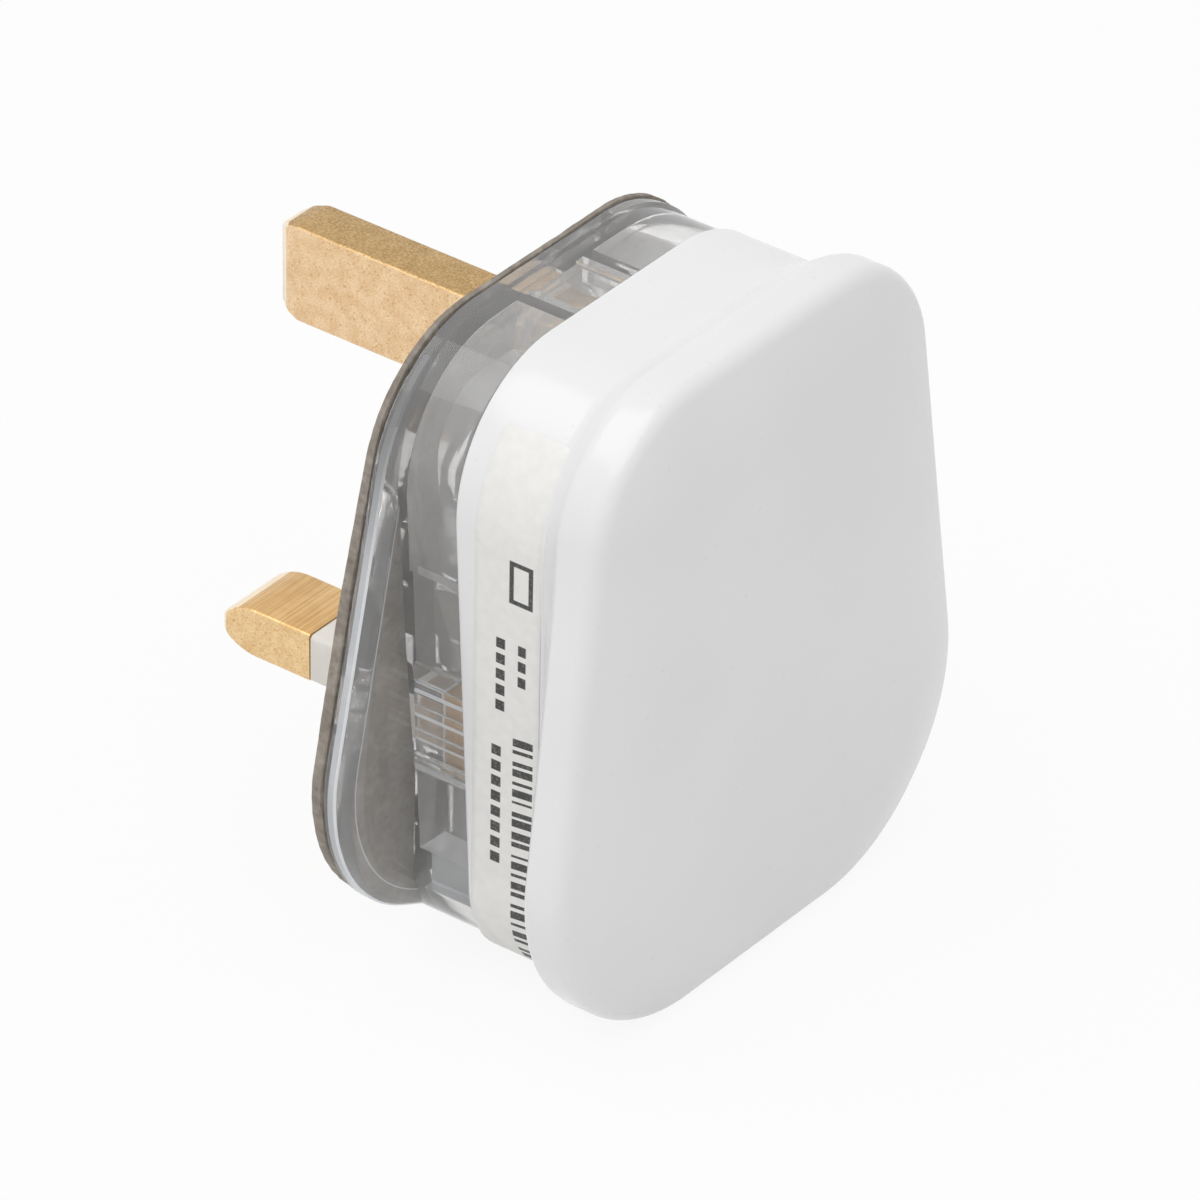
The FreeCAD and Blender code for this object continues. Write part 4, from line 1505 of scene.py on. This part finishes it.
@dataclass
class FlatPin(PinStock):
    """One of the two flat pins: a bullet nose, and a waist where its sleeve sits."""

    live: bool = False
    length: float = 17.7
    nose_length: float = 3.4
    nose_tip: float = 0.4
    nose_corner: float = 0.9
    nose_blunt: float = 0.3
    nose_steps: int = 22
    nose_pace: float = 1.6
    shoulder: float = 0.1
    sleeve_start: float = -1.5
    sleeve_end: float = 9.3
    sleeve_wall: float = 0.55
    live_rise: float = 1.2

    def nose_half(self, back: float) -> float:
        """Give the nose's half height at a distance back from its tip.

        Args:
            back: Millimetres from the tip.

        Returns:
            The half height on the nose's arc.
        """
        half = self.tall / 2
        drop = half - self.nose_tip
        radius = (self.nose_length ** 2 + drop ** 2) / (2 * drop)
        along = self.nose_length - back
        return half - radius + math.sqrt(radius ** 2 - along ** 2)

    @staticmethod
    def rounded(radius: float, back: float) -> float:
        """Give how far a rounded corner at the tip falls in.

        Args:
            radius: The corner's radius.
            back: Millimetres from the tip.

        Returns:
            The distance inwards, 0 behind the corner.
        """
        return radius - math.sqrt(radius ** 2 - max(0.0, radius - back) ** 2)

    def built(self) -> bpy.types.Object:
        """Build the pin with its waist, nose and head.

        Returns:
            The flat pin.
        """
        thin, step = self.sleeve_wall, self.shoulder
        rings = [self.section(self.head_y - self.bury), self.section(self.sleeve_start)]
        rings += [self.section(self.sleeve_start, thin, thin), self.section(self.sleeve_end, thin, thin)]
        rings += [self.section(self.sleeve_end, step, step), self.section(self.sleeve_end + step)]
        for index in range(self.nose_steps + 1):
            back = self.nose_length * (1 - index / self.nose_steps) ** self.nose_pace
            in_x = self.rounded(self.nose_corner, back)
            in_z = self.tall / 2 - self.nose_half(back) + self.rounded(self.nose_blunt, back)
            rings.append(self.section(self.length - back, in_x, in_z, min(self.edge, self.tall / 2 - in_z)))
        pin = Workbench.lofted(self.node + "_brass", rings)
        Workbench.fold(pin, self.foot() if self.live else self.head(), Fold.ADD)
        Workbench.smooth(pin, 34.0)
        return pin

    def foot(self) -> bpy.types.Object:
        """Build the live pin's low head, which carries the fuse's lower clip.

        Returns:
            The low head.
        """
        size = self.head_wide, self.head_tall, self.head_edge
        ends = (self.head_y, self.head_y - self.live_rise)
        return Workbench.lofted("head", [Workbench.oblong((self.x, y, self.z), *size) for y in ends])


@dataclass
class Pins:
    """The three brass pins and their sleeves."""

    half_pitch: float = HALF_PITCH
    edge: float = 0.1
    sharp_deg: float = 30.0
    earth_size: tuple[float, float] = (3.98, 7.95)
    line_size: tuple[float, float] = (6.35, 3.98)
    earth_head: tuple[float, float] = (6.2, 7.0)

    def dressed(self) -> list[bpy.types.Object]:
        """Build the pins, and give them and their sleeves their finishes.

        Returns:
            The pins and the sleeves.
        """
        half = self.half_pitch
        wide, tall = self.earth_head
        earth = EarthPin("earth_pin", 0.0, half, *self.earth_size, head_wide=wide, head_tall=tall)
        neutral = FlatPin("neutral_pin", -half, -half, *self.line_size)
        live = FlatPin("live_pin", half, -half, *self.line_size, live=True)
        earth_brass = Brass(
            "earth_brass", shade(208, 175, 125), shade(164, 132, 84),
            shade(214, 170, 118), shade(246, 216, 176),
        )
        line_brass = Brass(
            "line_brass", shade(228, 191, 138), shade(200, 161, 106),
            shade(212, 170, 112), shade(244, 213, 166),
            turn=math.pi / 2, streak_scale=6000.0, streak_long=0.015,
        )
        # Pale brass painted on the noses as a highlight.
        nose_highlight_brass = Brass(
            "nose_highlight_brass", shade(250, 234, 208), shade(240, 219, 186),
            shade(247, 230, 208), shade(252, 240, 222),
        )
        nose_highlight = nose_highlight_brass.made()
        pieces = [earth.built()]
        earth.dressed(pieces[0], earth_brass.made(), nose_highlight)
        line_metal = line_brass.made()
        for pin in (neutral, live):
            pieces.append(pin.built())
            pin.dressed(pieces[-1], line_metal, nose_highlight)
        plastic = GlossyPlastic(
            "sleeve_plastic", shade(238, 234, 228), shade(230, 225, 217),
            rough_low=0.3, rough_high=0.42, coarse=300.0,
        )
        sleeve = plastic.made()
        for name in ("neutral_pin_sleeve", "live_pin_sleeve"):
            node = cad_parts[name]
            Workbench.refine_node(node, self.sharp_deg, self.edge)
            dress(node, sleeve)
            pieces.append(node)
        return pieces


@dataclass
class WiringCard:
    """The grey card slipped over the pins, with a rough and slightly curled edge."""

    flange: Outline = Outline(((16.6, 19.9, 11.0), (26.6, -22.3, 13.8), (7.0, -31.4, 12.0)))
    inset: float = 0.25
    near_y: float = 0.25
    thick: float = 0.9
    pressed: float = 0.5
    lean: float = 0.15
    frayed: float = 0.06
    curl: float = 0.12
    insets: tuple[float, ...] = (6.0, 3.0, 1.2, 0.35, 0.06)
    curled: tuple[float, ...] = (0.0, 0.35, 0.8, 1.0, 1.0)
    edge_shares: tuple[float, ...] = (0.1, 0.35, 0.65, 0.9)
    waves: tuple[int, ...] = (2, 3, 5, 7, 11)
    detail: tuple[int, int] = (40, 30)
    middle_z: float = -6.0
    seed: int = 5
    half_pitch: float = HALF_PITCH
    hole_y: tuple[float, float] = (-1.0, 3.0)
    earth_hole: tuple[float, float] = (4.68, 8.65)
    line_hole: tuple[float, float] = (7.05, 4.68)
    screw_z: float = -2.0
    screw_radius: float = 3.65

    def fray(self, ring: np.ndarray, noise: np.random.Generator) -> None:
        """Roughen a ring on the card's edge.

        Args:
            ring: Points of the ring, which are moved inwards.
            noise: Source of the unevenness.
        """
        rough = noise.normal(0.0, 1.0, len(ring))
        rough = (rough + np.roll(rough, 1) + np.roll(rough, 2)) / 3
        inwards = np.array((0.0, 0.0, self.middle_z)) - ring
        inwards[:, 1] = 0.0
        inwards /= np.linalg.norm(inwards, axis=1)[:, None]
        ring += inwards * (self.frayed * np.abs(rough))[:, None]

    def rings(self) -> list[np.ndarray]:
        """List the card's rings, curled, frayed at the edge and pressed thinner towards the top.

        Returns:
            The rings from the middle of the near face, round the edge, to that of the far face.
        """
        edge = self.flange.grown(-self.inset)
        far_y = self.near_y + self.thick
        found = [edge.grown(-inset).ring(self.near_y, *self.detail) for inset in self.insets]
        found += [edge.ring(self.near_y + self.thick * share, *self.detail) for share in self.edge_shares]
        found += [edge.grown(-inset).ring(far_y, *self.detail) for inset in reversed(self.insets)]
        noise = np.random.default_rng(self.seed)
        waves = [(k, noise.uniform(0, 2 * math.pi), noise.uniform(0.4, 1.0)) for k in self.waves]
        turns = np.arange(len(found[0])) * 2 * math.pi / len(found[0])
        lift = sum(size * np.sin(k * turns + start) / k for k, start, size in waves)
        lift = lift / np.abs(lift).max()
        outermost = len(self.insets) - 1
        for index, ring in enumerate(found):
            step = min(index, len(found) - 1 - index, outermost)
            ring[:, 1] += self.curl * self.curled[step] * (lift + 1.0)
            if step == outermost:
                self.fray(ring, noise)
            upper = np.clip(ring[:, 2] / edge.corners[0][1], 0.0, 1.0)
            ring[:, 1] -= upper * (self.lean + self.pressed * (ring[:, 1] - self.near_y))
        return found

    def built(self) -> bpy.types.Object:
        """Build the card and cut its holes.

        Returns:
            The card.
        """
        card = Workbench.lofted("grey_card", self.rings())
        half = self.half_pitch
        for name, x, z, size in (
            ("earth_hole", 0.0, half, self.earth_hole),
            ("neutral_hole", -half, -half, self.line_hole),
            ("live_hole", half, -half, self.line_hole),
        ):
            wide, tall = size[0] / 2, size[1] / 2
            corners = [(x - wide, z - tall), (x + wide, z - tall), (x + wide, z + tall), (x - wide, z + tall)]
            ends = [np.array([(a, y, c) for a, c in corners]) for y in self.hole_y]
            Workbench.fold(card, Workbench.lofted(name, ends), Fold.CUT)
        near, far = self.hole_y
        centre = (0.0, (near + far) / 2, self.screw_z)
        screw = Workbench.rod("screw_hole", Axis.ALONG_Y, centre, self.screw_radius, far - near, sides=48)
        Workbench.fold(card, screw, Fold.CUT)
        Workbench.smooth(card, 40.0)
        return card

    def dressed(self, card: bpy.types.Object) -> None:
        """Give the card its fibrous finish and its place.

        Args:
            card: The card.
        """
        board = FibreBoard("grey_card", shade(143, 134, 124), shade(170, 162, 152), shade(100, 91, 82))
        Workbench.single_slot(card, board.made())
        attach(card, BODY)
        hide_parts("wiring_card")


@dataclass
class SidePaper:
    """The paper strip on the cover's left wall, turned round its lower corner."""

    wall: Outline = WALLS
    proud: float = 0.35
    gap: float = 0.03
    thick: float = 0.1
    feather: float = 0.015
    top_z: float = 16.8
    end_x: float = -12.2
    middle_y: float = -11.325
    wide: float = 5.85
    tilt_deg: float = 2.7
    corner: float = 0.45
    turn_z: float = -6.0
    detail: tuple[int, int] = (60, 60)
    rows: int = 240
    columns: int = 13
    flat_share: float = 0.96

    @staticmethod
    def lengths(way: np.ndarray) -> np.ndarray:
        """Measure how far along a path each of its points lies."""
        return np.concatenate([[0.0], np.cumsum(np.linalg.norm(np.diff(way, axis=0), axis=1))])

    def path(self, away: float) -> np.ndarray:
        """Follow the left wall from the strip's top end to its lower end.

        Args:
            away: Distance from the cover's wall.

        Returns:
            Rows of X and Z along the wall, in millimetres, evenly spaced.
        """
        ring = self.wall.grown(self.proud + away).ring(0.0, *self.detail)[:, [0, 2]]
        left = ring[(ring[:, 0] < self.end_x) & (ring[:, 1] < self.top_z)]
        left = left[np.argsort(-np.unwrap(np.arctan2(left[:, 1] - self.turn_z, -left[:, 0])))]
        steps = self.lengths(left)
        even = np.linspace(0.0, steps[-1], self.rows)
        return np.stack([np.interp(even, steps, left[:, k]) for k in (0, 1)], axis=1)

    def sheet(self, away: float, rim: float) -> np.ndarray:
        """Sample one face of the strip, with rounded corners.

        Args:
            away: Distance of the face from the cover's wall.
            rim: Distance of its two long edges.

        Returns:
            Points along each row in turn, in millimetres.
        """
        flat = np.linspace(-self.flat_share, self.flat_share, self.columns)
        columns = np.concatenate([[-1.0], flat, [1.0]])
        way, edge = self.path(away), self.path(rim)
        steps = self.lengths(way)
        near_end = np.minimum(steps, steps[-1] - steps)
        short = np.clip(self.corner - near_end, 0.0, self.corner)
        half = self.wide / 2 - (self.corner - np.sqrt(self.corner ** 2 - short ** 2))
        middle = self.middle_y - way[:, 1] * math.sin(math.radians(self.tilt_deg))
        y = middle[:, None] + half[:, None] * columns
        x, z = (np.repeat(way[:, k][:, None], len(columns), axis=1) for k in (0, 1))
        for column in (0, -1):
            x[:, column], z[:, column] = edge[:, 0], edge[:, 1]
        return np.stack([x, y, z], axis=2).reshape(-1, 3)

    def built(self) -> bpy.types.Object:
        """Build the strip from its two faces.

        Returns:
            The paper strip.
        """
        under_face = self.sheet(self.gap, self.gap)
        over_face = self.sheet(self.gap + self.thick, self.gap + self.feather)
        rows, wide = self.rows, self.columns + 2
        over = len(under_face)
        faces: list[tuple[int, ...]] = []
        for row in range(rows - 1):
            for column in range(wide - 1):
                a = row * wide + column
                quad = (a, a + 1, a + wide + 1, a + wide)
                faces += [tuple(over + k for k in quad), tuple(reversed(quad))]
        rim = list(range(wide)) + [r * wide + wide - 1 for r in range(1, rows)]
        rim += [(rows - 1) * wide + k for k in range(wide - 2, -1, -1)]
        rim += [r * wide for r in range(rows - 2, 0, -1)]
        for here, after in zip(rim, rim[1:] + rim[:1]):
            faces.append((here, after, over + after, over + here))
        strip = Workbench.piece("paper_strip", np.concatenate([under_face, over_face]), faces)
        Workbench.smooth(strip, 40.0)
        return strip

    def dressed(self, strip: bpy.types.Object) -> None:
        """Give the strip its printed finish and its place.

        Args:
            strip: The paper strip.
        """
        paper = PrintedPaper(self.middle_y, self.tilt_deg)
        Workbench.single_slot(strip, paper.made())
        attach(strip, BODY)
        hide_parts("side_paper")


@dataclass
class InnerParts:
    """What is fitted inside: terminals, fuse, cord grip, closing screw and nut."""

    edge: float = 0.08
    sharp_deg: float = 30.0
    steel: tuple[str, ...] = (
        "earth_terminal_screw", "neutral_terminal_screw", "live_terminal_screw",
        "closing_screw", "cord_grip_screws",
    )

    def dressed(self) -> list[bpy.types.Object]:
        """Give each inner piece its finish.

        Returns:
            The inner pieces.
        """
        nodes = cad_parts
        brass = Brass(
            "inner_brass", shade(222, 186, 130), shade(184, 146, 94),
            shade(224, 186, 130), shade(242, 212, 166),
        )
        steel = PlatedMetal("screw_steel", shade(206, 206, 204), shade(184, 184, 183)).made()
        clip = PlatedMetal("clip_brass", shade(226, 196, 140), shade(178, 146, 92)).made()
        cap = PlatedMetal("cap_metal", shade(214, 212, 206), shade(168, 166, 160)).made()
        glazed = GlossyPlastic(
            "ceramic", shade(236, 233, 226), shade(226, 222, 214),
            rough_low=0.2, rough_high=0.35, coarse=400.0,
        )
        ceramic = glazed.made()
        board = FibreBoard("grip_plastic", shade(176, 120, 92), shade(196, 140, 110), shade(140, 92, 70))
        grip = board.made()
        inner_brass = brass.made()
        finishes = {name: steel for name in self.steel}
        finishes |= {"live_terminal_block": inner_brass, "closing_nut": inner_brass}
        finishes |= {"lower_fuse_clip": clip, "upper_fuse_clip": clip}
        finishes |= {"lower_fuse_cap": cap, "upper_fuse_cap": cap}
        finishes |= {"fuse_body": ceramic, "cord_grip": grip}
        for name, finish in finishes.items():
            Workbench.refine_node(nodes[name], self.sharp_deg, self.edge)
            dress(nodes[name], finish)
        return [nodes[name] for name in finishes]


def dress(piece: bpy.types.Object, finish: bpy.types.Material) -> None:
    """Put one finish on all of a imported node.

    Args:
        piece: The node.
        finish: The material it gets.
    """
    for slot in piece.material_slots:
        slot.link = "OBJECT"
        slot.material = finish
    if not piece.material_slots:
        piece.data.materials.append(finish)


@dataclass
class Studio:
    """Pale floor, soft light and the camera."""

    floor_z: float = -31.4
    floor_half: float = 2500.0
    ambient: float = 0.55
    azimuth: float = -52.634
    elevation: float = 33.066
    roll: float = 0.67
    shift_right: float = -4.595
    shift_up: float = 8.009
    distance: float = 859.73
    lens: float = 360.0
    sensor: float = 36.0
    clip_end: float = 20.0
    key_from: tuple[float, float, float] = (-380.0, 60.0, 1060.0)
    key_size: tuple[float, float] = (1900.0, 1200.0)
    key_power: float = 8.6

    def camera(self) -> None:
        """Set the camera at the view of the picture."""
        turn, rise, roll = (math.radians(a) for a in (self.azimuth, self.elevation, self.roll))
        back = Vector((math.sin(turn) * math.cos(rise), -math.cos(turn) * math.cos(rise), math.sin(rise)))
        right = Vector((math.cos(turn), math.sin(turn), 0.0))
        up = back.cross(right)
        right, up = right * math.cos(roll) + up * math.sin(roll), up * math.cos(roll) - right * math.sin(roll)
        place = (back * self.distance - right * self.shift_right - up * self.shift_up) * MM
        data = bpy.data.cameras.new("camera")
        data.lens = self.lens
        data.sensor_width = self.sensor
        data.clip_end = self.clip_end
        camera = bpy.data.objects.new("camera", data)
        axes = Matrix((right, up, back)).transposed()
        camera.matrix_world = Matrix.Translation(place) @ axes.to_4x4()
        bpy.context.scene.collection.objects.link(camera)
        bpy.context.scene.camera = camera

    def seen(self, wiring: Wiring) -> bpy.types.NodeSocket:
        """Tell rays that see the background from those that carry light.

        Args:
            wiring: Wiring of the floor or the world.

        Returns:
            A socket that is 1 for camera, glossy and transmission rays.
        """
        path = wiring.add("LightPath")
        first = wiring.maths("MAXIMUM", path.outputs["Is Camera Ray"], path.outputs["Is Glossy Ray"])
        return wiring.maths("MAXIMUM", first, path.outputs["Is Transmission Ray"])

    def world(self) -> None:
        """Light the scene evenly and show white behind it."""
        world = bpy.data.worlds.new("studio")
        world.use_nodes = True
        world.node_tree.nodes.clear()
        wiring = Wiring(world.node_tree)
        strength = wiring.maths("MULTIPLY_ADD", self.seen(wiring), 1.0 - self.ambient, self.ambient)
        sky = wiring.add("Background", {"Color": (1.0, 1.0, 1.0, 1.0), "Strength": strength})
        wiring.add("OutputWorld", {"Surface": sky.outputs[0]})
        bpy.context.scene.world = world

    def floor(self) -> None:
        """Lay the pale floor, which keeps a faint shadow."""
        half = self.floor_half
        places = ((-half, -half), (half, -half), (half, half), (-half, half))
        corners = np.array([(x, y, self.floor_z) for x, y in places])
        floor = Workbench.piece("floor", corners, [(0, 1, 2, 3)])
        finish = Finish("floor")
        wiring = finish.wiring
        finish.set(Base_Color=(0.86, 0.86, 0.86, 1.0), Roughness=0.9, Specular_IOR_Level=0.0)
        white = wiring.add("Emission", {"Color": (1.0, 1.0, 1.0, 1.0), "Strength": 1.0})
        share = wiring.maths("MULTIPLY", self.seen(wiring), 0.9)
        ends = {0: share, 1: finish.shader.outputs[0], 2: white.outputs[0]}
        wiring.feed(finish.output.inputs["Surface"], wiring.add("MixShader", ends).outputs[0])
        floor.data.materials.append(finish.material)

    def lamps(self) -> None:
        """Hang one large soft lamp above, to the left."""
        data = bpy.data.lights.new("key", "AREA")
        data.shape = "ELLIPSE"
        data.size, data.size_y = (side * MM for side in self.key_size)
        data.energy = self.key_power
        lamp = bpy.data.objects.new("key", data)
        lamp.location = Vector(self.key_from) * MM
        lamp.rotation_euler = Vector(self.key_from).to_track_quat("Z", "Y").to_euler()
        bpy.context.scene.collection.objects.link(lamp)

    def built(self) -> None:
        """Build the whole studio."""
        self.world()
        self.floor()
        self.lamps()
        self.camera()
        bpy.context.scene.view_settings.view_transform = "Standard"


def report(piece: bpy.types.Object) -> None:
    """Log a piece's name and how many faces it has."""
    LOG.info("%s: %d faces", piece.name, len(piece.data.polygons))


def main() -> None:
    """Build and dress every piece in order."""
    logging.basicConfig(level=logging.INFO, format="%(name)s: %(message)s")
    Effects.placed()
    Studio().built()
    for part in (ClearBase(), Cover(), WiringCard(), SidePaper()):
        piece = part.built()
        part.dressed(piece)
        report(piece)
    for fitted in (Pins(), InnerParts()):
        for piece in fitted.dressed():
            report(piece)


if __name__ == "__main__":
    main()
